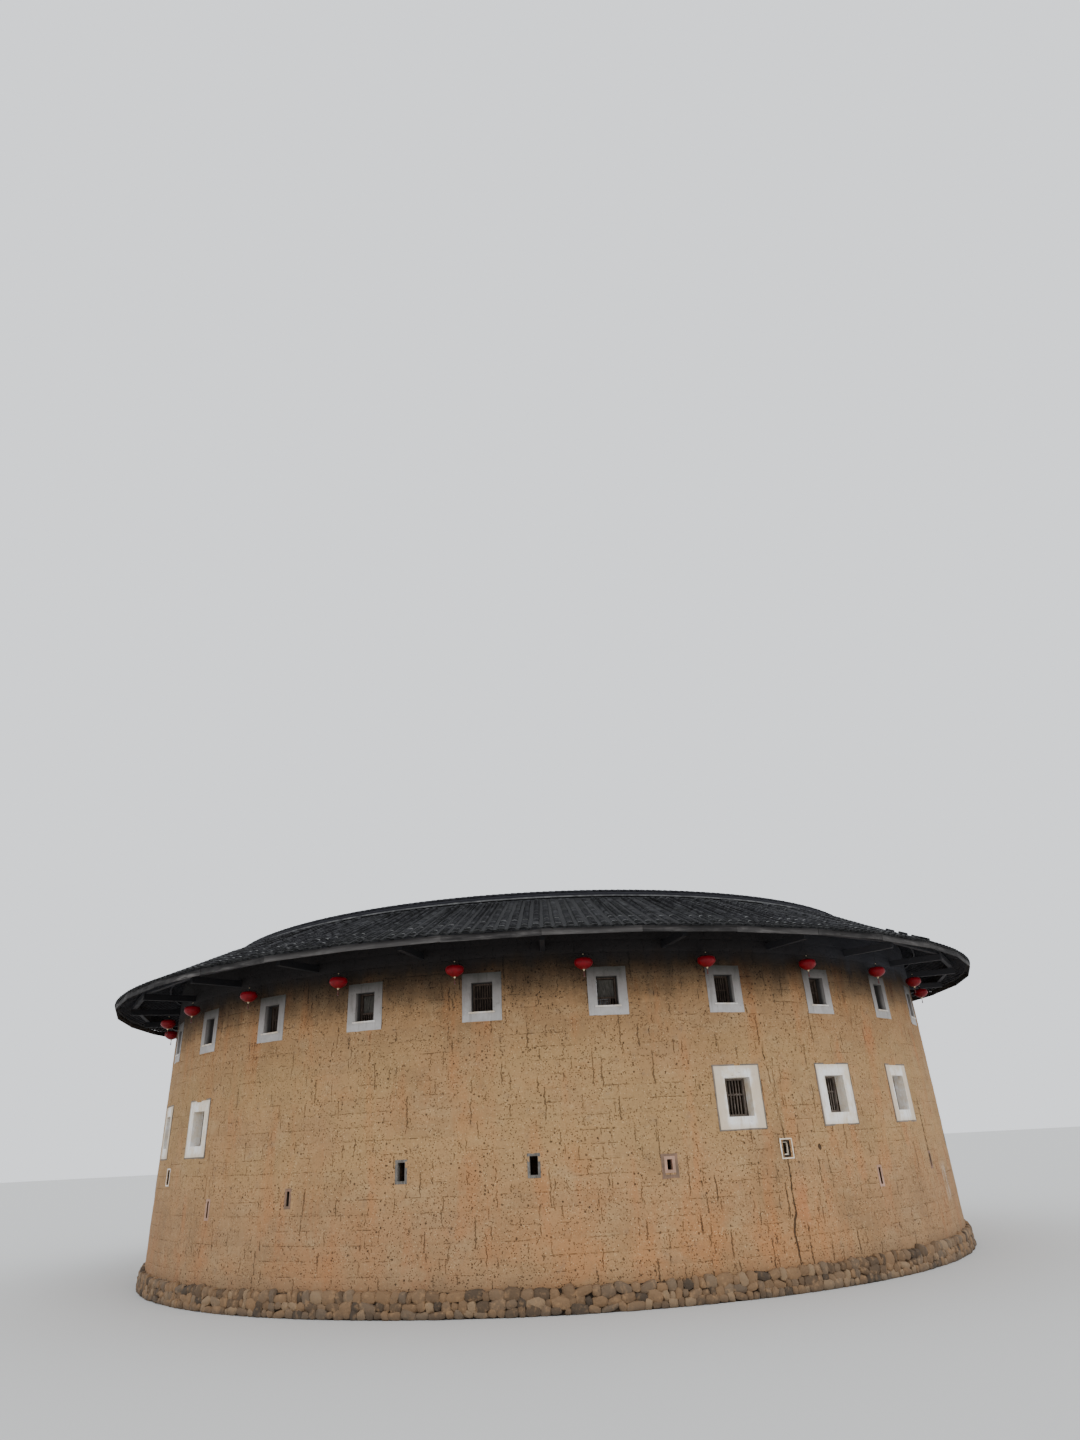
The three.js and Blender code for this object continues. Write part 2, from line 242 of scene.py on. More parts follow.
def drawn(points, closed=True):
    """A chain of edges, made by extruding one corner from point to point."""
    piece = added(bpy.ops.mesh.primitive_plane_add, size=1)
    corners = [Vector(point) for point in points]
    with editing(piece):
        bpy.ops.mesh.select_mode(type="VERT")
        bpy.ops.mesh.merge(type="CENTER")
        bpy.ops.transform.translate(value=corners[0])
        for near, far in zip(corners, corners[1:]):
            pull(far - near)
        choose_all()
        if closed:
            bpy.ops.mesh.edge_face_add()
    return piece


def spun_ring(name, steps, centre, outline):
    """A closed ring about Z from an outline round a centre, both in radius and height."""
    points = [(0, -(centre[0] + r), centre[1] + z) for r, z in [*outline, outline[0]]]
    ring = drawn(points, closed=False)
    ring.name = name
    with editing(ring):
        sweep(360, steps)
    return outward(ring)


def turned_copy(piece, bearing):
    copy = piece.copy()
    copy.data = piece.data.copy()
    copy.rotation_euler.z = math.radians(bearing)
    bpy.context.collection.objects.link(copy)
    return copy


def joined(pieces, name):
    pick_objects(*pieces)
    if len(pieces) > 1:
        bpy.ops.object.join()
    whole = settle(bpy.context.object)
    whole.name = name
    whole.data.name = name
    return whole


def finished(piece, finish, node=None):
    """Gives a piece its material and its place in the frame."""
    piece.data.materials.clear()
    piece.data.materials.append(finish.material)
    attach(piece, "root")
    if node:
        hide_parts(node)
    return piece


def used_up(models):
    for model in models:
        bpy.data.objects.remove(model)


def round_the_ring(models, bearings, name, finish, node=None, smooth=None):
    """Copies of the models, one to a bearing in turn, joined and finished as one piece."""
    models = models if isinstance(models, list) else [models]
    copies = [turned_copy(models[i % len(models)], bearing) for i, bearing in enumerate(bearings)]
    used_up(models)
    whole = joined(copies, name)
    if smooth:
        smoothed(whole, smooth)
    return finished(whole, finish, node)


# ---------------------------------------------------------------- materials


class Value:
    """A shader socket that takes part in arithmetic: each operator adds a Math node."""

    def __init__(self, finish, socket):
        self.finish = finish
        self.socket = socket

    def math(self, operation, *values):
        return self.finish.node("ShaderNodeMath", {"operation": operation}, dict(enumerate(values)))

    def __add__(self, other):
        return self.math("ADD", self, other)

    __radd__ = __add__

    def __sub__(self, other):
        return self.math("SUBTRACT", self, other)

    def __rsub__(self, other):
        return self.math("SUBTRACT", other, self)

    def __mul__(self, other):
        return self.math("MULTIPLY", self, other)

    __rmul__ = __mul__

    def __truediv__(self, other):
        return self.math("DIVIDE", self, other)

    def __abs__(self):
        return self.math("ABSOLUTE", self)

    def fraction(self):
        return self.math("FRACT", self)

    def floor(self):
        return self.math("FLOOR", self)

    def most(self, other):
        return self.math("MAXIMUM", self, other)

    def between(self, low, high):
        """0 below low, 1 above high and a smooth climb from one to the other."""
        settings = {"interpolation_type": "SMOOTHSTEP"}
        return self.finish.node("ShaderNodeMapRange", settings, {0: self, 1: low, 2: high, 3: 0.0, 4: 1.0})

    def within(self, low, high, soft):
        """1 from low to high, with a soft edge inside each, and 0 elsewhere."""
        return self.between(low, low + soft) * (1 - self.between(high - soft, high))


class Finish:
    """One procedural material, built from nodes on the piece's own coordinates."""

    def __init__(self, name, specular=0.5, metallic=0.0, sheen=0.0):
        self.material = bpy.data.materials.new(name)
        self.material.use_nodes = True
        self.nodes = self.material.node_tree.nodes
        self.links = self.material.node_tree.links
        self.shader = self.nodes["Principled BSDF"]
        gloss = {"Specular IOR Level": specular, "Metallic": metallic, "Sheen Weight": sheen}
        for socket, value in gloss.items():
            self.shader.inputs[socket].default_value = value
        self.place = self.node("ShaderNodeTexCoord", output="Object")
        self.x, self.y, self.z = self.split(self.place)

    def node(self, kind, settings=None, values=None, output=0):
        made = self.nodes.new(kind)
        for name, setting in (settings or {}).items():
            if name == "stops":
                self.set_stops(made.color_ramp, setting)
            else:
                setattr(made, name, setting)
        for name, value in (values or {}).items():
            if isinstance(value, Value):
                self.links.new(value.socket, made.inputs[name])
            else:
                made.inputs[name].default_value = value
        return Value(self, made.outputs[output])

    @staticmethod
    def set_stops(ramp, stops):
        while len(ramp.elements) < len(stops):
            ramp.elements.new(0.5)
        for element, (position, color) in zip(ramp.elements, stops):
            element.position = position
            element.color = (*color, 1)

    def split(self, vector):
        outputs = self.node("ShaderNodeSeparateXYZ", values={0: vector}).socket.node.outputs
        return [Value(self, outputs[i]) for i in range(3)]

    def point(self, x, y, z):
        return self.node("ShaderNodeCombineXYZ", values={0: x, 1: y, 2: z})

    def noise(self, scale, detail=3.0, roughness=0.55, distortion=0.0, stretch=None):
        """Noise on the piece's place, which stretch scales on each axis."""
        place = self.place
        if stretch:
            place = self.node("ShaderNodeMapping", values={"Vector": place, "Scale": stretch})
        values = {"Vector": place, "Scale": scale, "Detail": detail, "Roughness": roughness}
        return self.node("ShaderNodeTexNoise", values={**values, "Distortion": distortion})

    def cells(self, scale, output=0):
        return self.node("ShaderNodeTexVoronoi", values={"Vector": self.place, "Scale": scale}, output=output)

    def chance(self, x, y, z):
        """A number of its own for each place."""
        return self.node("ShaderNodeTexWhiteNoise", values={"Vector": self.point(x, y, z)})

    def own_tone(self):
        """The number that a piece's mesh carries."""
        return self.node("ShaderNodeAttribute", {"attribute_name": "tone"}, output="Fac")

    def ramp(self, factor, *stops):
        return self.node("ShaderNodeValToRGB", {"stops": stops}, {0: factor})

    def mix(self, base, other, factor, blend="MIX"):
        values = {0: factor}
        for socket, color in ((6, base), (7, other)):
            values[socket] = color if isinstance(color, Value) else (*color, 1)
        return self.node("ShaderNodeMix", {"data_type": "RGBA", "blend_type": blend}, values, output=2)

    def layered(self, color, *layers):
        """A color under layers of others, each by its own amount."""
        for layer, amount in layers:
            color = self.mix(color, layer, amount)
        return color

    def darkened_by_soot_and_shade(self, color, height, *stops):
        """A color that darkens with the height, as soot and painted shade; the stops are parts of three
        metres.
        """
        return self.mix(color, self.ramp(height / 3, *stops), 1.0, "MULTIPLY")

    def radius(self):
        flat = self.point(self.x, self.y, 0.0)
        return self.node("ShaderNodeVectorMath", {"operation": "LENGTH"}, {0: flat}, 1)

    def bearing(self):
        """Degrees from -Y towards +X, from -180 to 180."""
        return self.x.math("ARCTAN2", self.x, self.y * -1) * (180 / math.pi)

    def bump(self, height, distance, strength=1.0):
        values = {"Height": height, "Distance": distance, "Strength": strength}
        return self.node("ShaderNodeBump", values=values)

    def paint(self, color, roughness, normal=None):
        for name, value in (("Base Color", color), ("Roughness", roughness), ("Normal", normal)):
            if isinstance(value, Value):
                self.links.new(value.socket, self.shader.inputs[name])
            elif value:
                self.shader.inputs[name].default_value = value
        return self


def grey(tone):
    return (tone, tone, tone)


# Heights and bearings along the long crack, and the bearings and heights of the short ones
LONG_CRACK = [
    (0.64, 25.36), (1.6, 25.12), (2.08, 25.69), (2.4, 25.6),
    (3.472, 25.69), (4.352, 25.66), (5.28, 25.27), (6.56, 24.61),
]
SHORT_CRACKS = [
    (24.87, 1.8, 3.0), (26.93, 0.5, 1.8), (22.25, 0.5, 1.5), (17.65, 0.7, 1.8),
    (33.75, 0.5, 1.5), (14.65, 1.6, 2.4), (16.70, 2.4, 3.3), (29.85, 2.7, 3.6),
]
NOTCHED_CRACK = 53.45
POLE_HOLE = (30.4, 3.79)


def upright_cracks(f, along, level, spacing, width):
    """Thin upright cracks, metres apart and at new places on each level."""
    sway = 0.22 * (f.noise(5, 5, 0.7) - 0.5)
    at = (along + sway) / spacing + level * 7.31
    line = f.node("ShaderNodeTexVoronoi", {"voronoi_dimensions": "1D"}, {"W": at, "Scale": 1.0})
    return 1 - line.between(0.2 * width / spacing, width / spacing)


def fitted_cracks(f, bearing):
    """The cracks and the hole that the photographed side has, at their own places."""
    wander = 0.7 * (f.noise(4.5, 5, 0.7) - 0.5)
    least, span, tall = 24.1, 3.0, 8  # a ramp over the height gives a part of the span
    path = f.ramp(f.z / tall, *[(z / tall, grey((at - least) / span)) for z, at in LONG_CRACK])
    off = abs(bearing - (least + span * path) + wander)
    gape = f.z.within(0.9, 2.5, 0.6)
    marks = 1 - off.between(0.03 + 0.05 * gape, 0.11 + 0.10 * gape)
    healed = f.z.between(3.4, 5.6) * f.noise(1.4, 2).between(0.4, 0.5)
    marks = marks * (1 - healed) * (1 - f.z.between(6.5, 7.0))
    notches = f.noise(13, 3).between(0.44, 0.52)
    notched = (1 - abs(bearing - NOTCHED_CRACK + 0.6 * wander).between(0.10, 0.26)) * notches
    marks = marks.most(notched * f.z.within(3.2, 5.3, 0.3))
    broken = f.noise(6, 4).between(0.36, 0.52) * 0.9
    for at, low, high in SHORT_CRACKS:
        line = 1 - abs(bearing - at + 0.9 * wander).between(0.03, 0.10)
        marks = marks.most(line * f.z.within(low, high, 0.2) * broken)
    across = (bearing - POLE_HOLE[0]) * 3.4
    down = (f.z - POLE_HOLE[1]) * 9
    hole = 1 - (across * across + down * down + 0.8 * (f.noise(9, 3) - 0.5)).between(0.45, 0.75)
    return marks.most(hole)


def earth_marks(f, bearing, along, layer):
    """How dark the joints, cracks and holes make each place of the rammed earth."""
    # Joints between the layers show here and there, as a row of small holes
    joint_gap = (0.5 - abs(layer.fraction() - 0.5)) * LIFT
    dotted = f.noise(15, 2).between(0.47, 0.55)
    joint = (1 - joint_gap.between(0.003, 0.018)) * f.noise(1.0, 4).between(0.49, 0.58) * dotted
    shifted = layer + 1.2 * (f.noise(0.9, 2) - 0.5)
    short = upright_cracks(f, along, shifted.floor(), 0.95, 0.016) * f.noise(2.1, 4).between(0.49, 0.55)
    tall = upright_cracks(f, along, (shifted / 2.6).floor() + 3.5, 1.7, 0.022)
    tall = tall * f.noise(1.2, 4).between(0.49, 0.55)
    # Pock holes of uneven size, in clusters
    hole = f.split(f.cells(8, output=1))[0] * 0.34
    pocks = (1 - (f.cells(8) / hole.most(0.02)).between(0.55, 1.0)) * f.noise(1.1, 3).between(0.34, 0.60)
    grit = (1 - f.cells(15).between(0.14, 0.30)) * f.noise(2.7, 2).between(0.36, 0.50)
    dark = fitted_cracks(f, bearing)
    for mark, depth in ((joint, 0.6), (short, 0.75), (tall, 0.75), (pocks, 0.9), (grit, 0.75)):
        dark = dark.most(mark * depth)
    return dark


def rammed_earth():
    f = Finish("rammed_earth", 0.15)
    bearing = f.bearing()
    along = bearing * (math.radians(1) * 16.6)  # metres round the face
    drift = f.noise(0.8, 2)
    layer = (f.z - PLINTH_TOP + 0.06 * (f.noise(2.2, 3) - 0.5)) / LIFT
    dark = earth_marks(f, bearing, along, layer)
    tone = f.ramp(
        f.noise(0.55, 5, 0.6),
        (0.30, (0.300, 0.180, 0.088)),
        (0.44, (0.385, 0.222, 0.104)),
        (0.58, (0.430, 0.252, 0.120)),
        (0.72, (0.400, 0.205, 0.088)),
    )
    # Shuttering lengths, each of a slightly different mix
    step = layer.floor()
    batch = f.chance((along / 1.7 + step * 0.37).floor(), step, 4.0)
    streaks = f.noise(1, 4, stretch=(1.3, 1.3, 0.22)).between(0.50, 0.68)
    color = f.layered(
        tone,
        ((0.29, 0.185, 0.100), batch.between(0.3, 1.0) * 0.28),
        ((0.46, 0.175, 0.062), streaks * 0.42),
    )
    # Redder beside a crack and under a window
    for at, wide, low, high in ((26.7, 1.1, 1.7, 2.9), (43.0, 1.3, 6.4, 7.5)):
        beside = 1 - (abs(bearing - at + 2 * (f.noise(1.6, 3) - 0.5)) / wide).between(0.3, 1.0)
        level = f.z.within(low - 0.5, high + 0.4, 0.9)
        color = f.mix(color, (0.46, 0.170, 0.070), beside * level * 0.55)
    low_tint = (1 - f.z.between(1.0, 3.4)) * f.noise(0.7, 3).between(0.36, 0.62)
    low_tint = low_tint * (1 - bearing.between(24, 33) * 0.7)
    pale = f.noise(0.9, 4, stretch=(1, 1, 1.4)).between(0.52, 0.72)
    ochre = f.z.between(2.8, 4.4) * (1 - f.z.between(6.6, 8.0)) * f.noise(0.45, 3).between(0.35, 0.6)
    mottle = f.noise(9, 6, 0.8)
    flecks = (1 - f.cells(13).between(0.10, 0.24)) * f.noise(3.1, 2).between(0.45, 0.58)
    foot = 1 - (f.z + 0.5 * (drift - 0.5)).between(0.5, 1.3)
    # Painted shade: darker and greyer low down, away from the middle of the photographed side
    low_side_shade = abs(bearing - 15).between(12, 28) * (1 - (f.z + drift).between(2.4, 4.0))
    lime_run = (1 - (abs(bearing - 58.6) / 1.6).between(0.4, 1.0)) * f.z.within(1.6, 3.1, 0.5)
    color = f.layered(
        color,
        ((0.47, 0.200, 0.075), low_tint * 0.5),
        ((0.46, 0.300, 0.155), pale * 0.6),
        ((0.44, 0.282, 0.125), ochre * 0.45),
        ((0.25, 0.175, 0.115), f.noise(2.4, 5, 0.7).between(0.56, 0.76) * 0.5),
        ((0.22, 0.135, 0.070), (1 - mottle.between(0.32, 0.47)) * 0.7),
        ((0.60, 0.405, 0.215), mottle.between(0.56, 0.68) * 0.6),
        ((0.72, 0.50, 0.27), flecks * 0.7),
        ((0.21, 0.135, 0.080), foot * 0.5),
        ((0.20, 0.150, 0.105), low_side_shade * 0.22),
        ((0.60, 0.50, 0.42), lime_run * f.noise(4, 4, stretch=(2, 2, 0.4)).between(0.40, 0.60) * 0.6),
        ((0.045, 0.028, 0.018), dark * 0.9),
    )
    # Soot and painted shade blacken the wall under the eave
    eave = f.z + 0.7 * (drift - 0.5) + 0.5 * (f.noise(2, 4, stretch=(1.6, 1.6, 0.2)) - 0.5)
    color = f.darkened_by_soot_and_shade(
        color,
        eave - 7.92,
        (0.10, (1.0, 1.0, 1.0)),
        (0.28, (0.46, 0.48, 0.52)),
        (0.41, (0.22, 0.23, 0.27)),
        (0.54, (0.09, 0.10, 0.12)),
        (0.72, (0.04, 0.045, 0.055)),
    )
    # Painted shade at the top of the wall, a little lighter at greater bearings
    black = f.mix((0.030, 0.027, 0.027), (0.052, 0.053, 0.062), bearing.between(22, 48))
    color = f.mix(color, black, eave.between(9.25, 10.0) * 0.9)
    coarse = f.noise(7, 5, 0.6) + 0.5 * f.noise(30, 3)
    return f.paint(color, 0.95, f.bump(coarse - dark * 1.6, 0.03, 0.8))


# The earth seen inside openings and rooms, painted near black as the shade there
def shade_dark_earth():
    f = Finish("shade_dark_earth", 0.1)
    color = f.mix((0.040, 0.028, 0.020), (0.110, 0.072, 0.045), f.noise(1.6, 5).between(0.35, 0.65))
    return f.paint(color, 0.95, f.bump(f.noise(9, 5), 0.02))


def lime_plaster(name, fresh, stained, grime, reveal_at=None, dim=0.0, edged=None):
    """Old plaster, darkened under the eave by soot and painted shade. It has painted shade inside the face,
    by dim, if reveal_at is given, and is stained towards its border round the middle windows if edged is
    given."""
    f = Finish(name, 0.25)
    blot = f.noise(2.6, 5, 0.65)
    runs = f.noise(3, 4, stretch=(3.0, 3.0, 0.5)).between(0.52, 0.70)
    chips = f.noise(11, 4, 0.7).between(0.62, 0.70)
    color = f.layered(
        fresh,
        (stained, (blot * 0.6 + f.noise(0.5, 2) * 0.4).between(0.40, 0.62)),
        (grime, runs * 0.4),
        ((0.16, 0.13, 0.10), chips * 0.45),
    )
    # Soot and painted shade darken the plaster towards the eave
    color = f.darkened_by_soot_and_shade(
        color,
        f.z - 7.7 + 0.25 * (f.noise(1.8, 3) - 0.5),
        (0.10, (1.0, 1.0, 1.0)),
        (0.20, (0.80, 0.79, 0.78)),
        (0.32, (0.58, 0.56, 0.55)),
        (0.43, (0.36, 0.35, 0.34)),
        (0.54, (0.15, 0.15, 0.14)),
    )
    if edged:
        half_width, half_height = (MIDDLE[side] / 2 + MIDDLE["band"] for side in ("width", "height"))
        face = 16.64  # its radius at this height
        turn = f.bearing() / BAY
        aside = abs(turn.fraction() - 0.5) * (math.radians(BAY) * face / half_width)
        above = abs(f.z - MIDDLE["centre"]) / half_height
        outer = aside.most(above) + 0.25 * (f.noise(3.2, 4, 0.65) - 0.5)
        every_second = (turn.floor() / 2).fraction() * 2
        side = (aside + 0.35 * (f.noise(2.6, 4, 0.65) - 0.5)).between(0.50, 0.70)
        color = f.layered(
            color, (edged, outer.between(0.80, 1.02) * 0.6), (edged, side * every_second * 0.8)
        )
    if reveal_at:
        # Painted shade in the reveal, inside the face
        depth = f.radius() + (f.z - UPPER["centre"]) * BATTER
        inside = 1 - depth.between(reveal_at - 0.14, reveal_at)
        color = f.mix(color, (0.035, 0.032, 0.030), inside * dim)
    return f.paint(color, 0.9, f.bump(f.noise(14, 5, 0.6) - chips, 0.008, 0.8))


def rubble_stone():
    """Each stone's own tone comes from the number that its mesh carries."""
    f = Finish("rubble_stone", 0.3)
    tone = f.ramp(
        f.own_tone(),
        (0.05, (0.070, 0.050, 0.034)),
        (0.30, (0.165, 0.102, 0.056)),
        (0.55, (0.230, 0.138, 0.071)),
        (0.80, (0.138, 0.098, 0.065)),
        (0.95, (0.255, 0.170, 0.098)),
    )
    color = f.layered(
        tone,
        ((0.40, 0.24, 0.12), f.noise(5, 5, 0.65).between(0.50, 0.70) * 0.5),
        ((0.05, 0.040, 0.032), f.noise(9, 5, 0.7).between(0.58, 0.74) * 0.6),
        ((0.08, 0.065, 0.05), (1 - f.z.between(0.0, 0.22)) * 0.5),
    )
    return f.paint(color, 0.88, f.bump(f.noise(12, 6, 0.65), 0.03, 0.9))


def shaded_bedding():
    f = Finish("bedding_earth", 0.15)
    # Near black: painted shade in the gaps between the plinth stones
    color = f.mix((0.022, 0.016, 0.012), (0.075, 0.050, 0.032), f.noise(6, 5).between(0.4, 0.7))
    return f.paint(color, 0.95, f.bump(f.noise(16, 5), 0.03))


def dressed_stone():
    f = Finish("dressed_stone", 0.35)
    tone = f.ramp(
        f.noise(1.6, 6, 0.65),
        (0.35, (0.23, 0.215, 0.19)),
        (0.50, (0.36, 0.335, 0.30)),
        (0.68, (0.27, 0.245, 0.205)),
    )
    color = f.layered(
        tone,
        ((0.55, 0.53, 0.50), f.cells(90).between(0.0, 0.4) * 0.25),
        ((0.07, 0.065, 0.055), f.noise(4, 5, stretch=(2, 2, 0.35)).between(0.55, 0.74) * 0.6),
    )
    strokes = {"Vector": f.place, "Scale": 22.0, "Distortion": 3.0}
    tooling = f.node("ShaderNodeTexWave", {"bands_direction": "DIAGONAL"}, strokes, 1)
    return f.paint(color, 0.82, f.bump(f.noise(35, 5) + 0.25 * tooling, 0.006))


def sawn_wood(name, dark, mid, pale, along, weather=0.5, smoked_and_shaded=False, toned=False):
    """Old boards; along is the stretch of the grain on each axis. Smoked and shaded wood is near black under
    the eave, as soot and painted shade, and toned boards are paler or darker by the number that their mesh
    carries, with a painted shadow of the tiles along their top, and darker at greater bearings."""
    f = Finish(name, 0.25)
    grain = f.noise(6, 6, 0.65, 0.6, along)
    splits = f.noise(11, 3, 0.5, stretch=along).between(0.62, 0.68)
    color = f.layered(
        f.ramp(grain, (0.30, dark), (0.50, mid), (0.70, pale)),
        (dark, f.noise(1.3, 4).between(0.48, 0.66) * weather),
        ((0.012, 0.010, 0.008), splits * 0.7),
    )
    if toned:
        tone = f.own_tone()
        # Painted shadow of the tiles along the top of each board
        tile_shadow = (f.z + 0.04 * (f.noise(3, 3) - 0.5)).between(10.03, 10.10)
        color = f.layered(
            color,
            (pale, tone.between(0.45, 0.95) * 0.30),
            (dark, (1 - tone.between(0.10, 0.35)) * 0.6),
            (dark, tile_shadow * 0.6),
            (dark, f.bearing().between(15, 60) * 0.35),
        )
    # Soot and painted shade under the eave, a little lighter at greater bearings
    if smoked_and_shaded:
        eave_soot_and_shade = f.mix((0.014, 0.014, 0.016), (0.042, 0.042, 0.047), f.bearing().between(18, 42))
        color = f.mix(color, eave_soot_and_shade, f.radius().between(15.9, 16.4) * 0.98)
    return f.paint(color, 0.85, f.bump(grain - splits, 0.01, 0.8))


def storey_boards():
    """Floor boards and parapet boards, with their joints square to the ring."""
    f = Finish("gallery_boards", 0.25)
    turn = f.bearing() * (BAYS * 20 / 360)  # twenty boards to a bay
    gap = 1 - (0.5 - abs(turn.fraction() - 0.5)).between(0.02, 0.06)
    board = f.chance(turn.floor(), (f.z * 0.34).floor(), 1.0)
    grain = f.noise(5, 6, 0.6, 0.5, (2, 2, 0.7))
    color = f.ramp(
        grain * 0.6 + board * 0.4,
        (0.25, (0.050, 0.034, 0.022)),
        (0.50, (0.120, 0.080, 0.050)),
        (0.75, (0.200, 0.140, 0.090)),
    )
    color = f.mix(color, (0.010, 0.008, 0.006), gap * 0.85)
    return f.paint(color, 0.82, f.bump(grain * 0.4 - gap, 0.008, 0.8))


TILES_TO_A_METRE = 5.2  # of radius


def roof_tiles():
    f = Finish("fired_tiles", 0.12)
    out, bearing = f.radius(), f.bearing()
    rows = bearing * (OUTER_ROWS / 360)
    inner_rows = bearing * (INNER_ROWS / 360)
    tile = f.chance(rows.floor(), (out * TILES_TO_A_METRE).floor(), 1.0)
    tone = f.ramp(
        tile,
        (0.05, (0.006, 0.006, 0.007)),
        (0.45, (0.013, 0.013, 0.015)),
        (0.80, (0.023, 0.023, 0.026)),
        (0.97, (0.040, 0.040, 0.043)),
    )
    right = bearing.between(15, 38)
    # The lower lip of each course is worn pale
    course = (out * TILES_TO_A_METRE + 0.4 * (tile - 0.5)).fraction()
    lip = course.between(0.80, 0.90) * f.noise(1.6, 3).between(0.45, 0.6)
    # Two broken pale lines run along the eave
    dash = f.chance(rows.floor(), (out * 5).floor(), 0.0).between(0.40, 0.50)
    wander = out + 0.10 * (f.noise(0.8, 2) - 0.5)
    first, second = (1 - abs(wander - line).between(0.02, 0.05) for line in (17.95, 18.62))
    # The flanks of each cover row are painted darker, as the shade in the gaps between rows
    outside = out.between(RIDGE_AT - 0.02, RIDGE_AT + 0.02)
    flank_shade = abs(rows.fraction() - 0.5) * outside + abs(inner_rows.fraction() - 0.5) * (1 - outside)
    edge = out.between(18.93, 18.99) * f.noise(6, 3).between(0.42, 0.62)
    # The saddle tiles keep damp and stay darkest
    saddles = 1 - abs(out - RIDGE_AT).between(0.14, 0.24)
    color = f.layered(
        tone,
        ((0.014, 0.015, 0.012), f.noise(0.9, 5, 0.65).between(0.52, 0.70) * 0.5),
        (grey(0.070), f.noise(8, 5, 0.7).between(0.60, 0.72) * 0.5),
        ((0.052, 0.053, 0.057), right * f.noise(9, 5, 0.7).between(0.44, 0.58) * 0.5),
        (grey(0.080), lip * (right * 0.4 + 0.5)),
        ((0.16, 0.16, 0.158), first.most(second) * dash * 0.8),
        (grey(0.003), flank_shade.between(0.19, 0.33) * 0.75),
        # Painted shade at the tile ends under the lower pale line
        (grey(0.004), out.between(18.66, 18.74) * 0.7),
        ((0.075, 0.075, 0.074), edge * 0.35),
        ((0.008, 0.008, 0.011), saddles * 0.8),
    )
    return f.paint(color, f.noise(3, 4) * 0.2 + 0.75, f.bump(f.noise(22, 5, 0.65), 0.01, 0.8))


def tile_bed():
    f = Finish("shade_dark_pan_tiles", 0.25)
    course = (f.radius() * TILES_TO_A_METRE).fraction()
    # The pans show only between the cover rows, and are painted near black as the shade there
    color = f.mix((0.003, 0.003, 0.004), (0.009, 0.009, 0.010), f.noise(5, 4))
    over_boards = f.z + abs(f.radius() - RIDGE_AT) * ROOF_RISE - RIDGE_TOP
    color = f.mix((0.024, 0.024, 0.027), color, over_boards.between(-0.118, -0.090))
    return f.paint(color, 0.85, f.bump(course + f.noise(20, 4), 0.02, 0.7))


def coping_mortar():
    f = Finish("coping_mortar", 0.25)
    pale = f.ramp(
        f.noise(3, 5, 0.7),
        (0.35, (0.045, 0.045, 0.047)),
        (0.55, (0.110, 0.110, 0.111)),
        (0.72, (0.170, 0.168, 0.165)),
    )
    # Only the foot of the bed has stayed pale
    foot = 1 - (f.z + 0.02 * f.noise(2, 2)).between(RIDGE_TOP - 0.085, RIDGE_TOP - 0.060)
    return f.paint(f.mix((0.011, 0.011, 0.015), pale, foot), 0.9, f.bump(f.noise(16, 5), 0.01))


def red_silk():
    f = Finish("red_silk", 0.2)
    color = f.mix((0.19, 0.003, 0.008), (0.27, 0.004, 0.012), f.noise(7, 3).between(0.35, 0.65))
    low = (LANTERN_CENTRE - f.z).between(-0.05, 0.20)
    color = f.mix(color, (0.10, 0.001, 0.002), low * 0.5)
    return f.paint(color, 0.42, f.bump(f.noise(120, 2), 0.002, 0.6))


def gilt():
    f = Finish("gilt_trim", metallic=0.6)
    color = f.mix((0.66, 0.48, 0.24), (0.82, 0.74, 0.55), f.noise(20, 3))
    return f.paint(color, 0.38, f.bump(f.noise(60, 3), 0.002))


def tassel_thread():
    f = Finish("tassel_thread", sheen=0.4)
    thread = f.noise(90, 2, stretch=(1, 1, 0.05))
    return f.paint(f.mix((0.07, 0.006, 0.006), (0.16, 0.020, 0.014), thread), 0.7, f.bump(thread, 0.003))


def black_iron():
    f = Finish("black_iron", metallic=0.8)
    rust = f.noise(14, 5, 0.7).between(0.50, 0.68)
    color = f.mix((0.020, 0.020, 0.022), (0.09, 0.035, 0.015), rust)
    return f.paint(color, rust * 0.3 + 0.5, f.bump(f.noise(40, 4), 0.002))


EARTH = rammed_earth()
SHADE_DARK_EARTH = shade_dark_earth()
# The upper windows' plaster, with painted shade in its reveals
GREY_PLASTER = lime_plaster(
    "grey_plaster", (0.54, 0.51, 0.49), (0.44, 0.415, 0.395), (0.26, 0.235, 0.21), reveal_at=16.49, dim=0.86
)
WHITE_PLASTER = lime_plaster("white_plaster", (0.90, 0.875, 0.845), (0.78, 0.66, 0.51), (0.52, 0.39, 0.26))
MIDDLE_PLASTER = lime_plaster(
    "middle_plaster", (0.92, 0.90, 0.87), (0.80, 0.69, 0.54), (0.52, 0.39, 0.26), edged=(0.66, 0.53, 0.38)
)
PINK_PLASTER = lime_plaster("pink_plaster", (0.52, 0.32, 0.235), (0.38, 0.23, 0.16), (0.24, 0.155, 0.11))
ROSE_RENDER = lime_plaster("rose_render", (0.29, 0.170, 0.115), (0.16, 0.110, 0.075), (0.07, 0.052, 0.040))
# Dark render for the painted shadow line round the middle plaster
SHADOW_LINE_RENDER = lime_plaster("shadow_line_render", (0.26, 0.205, 0.165), (0.15, 0.135, 0.11), (0.08, 0.075, 0.06))
RUBBLE = rubble_stone()
SHADED_BEDDING = shaded_bedding()
STONE = dressed_stone()
TIMBER = sawn_wood(
    "old_timber", (0.020, 0.014, 0.010), (0.062, 0.042, 0.028), (0.12, 0.085, 0.06), (1.5, 1.5, 0.35),
    smoked_and_shaded=True,
)
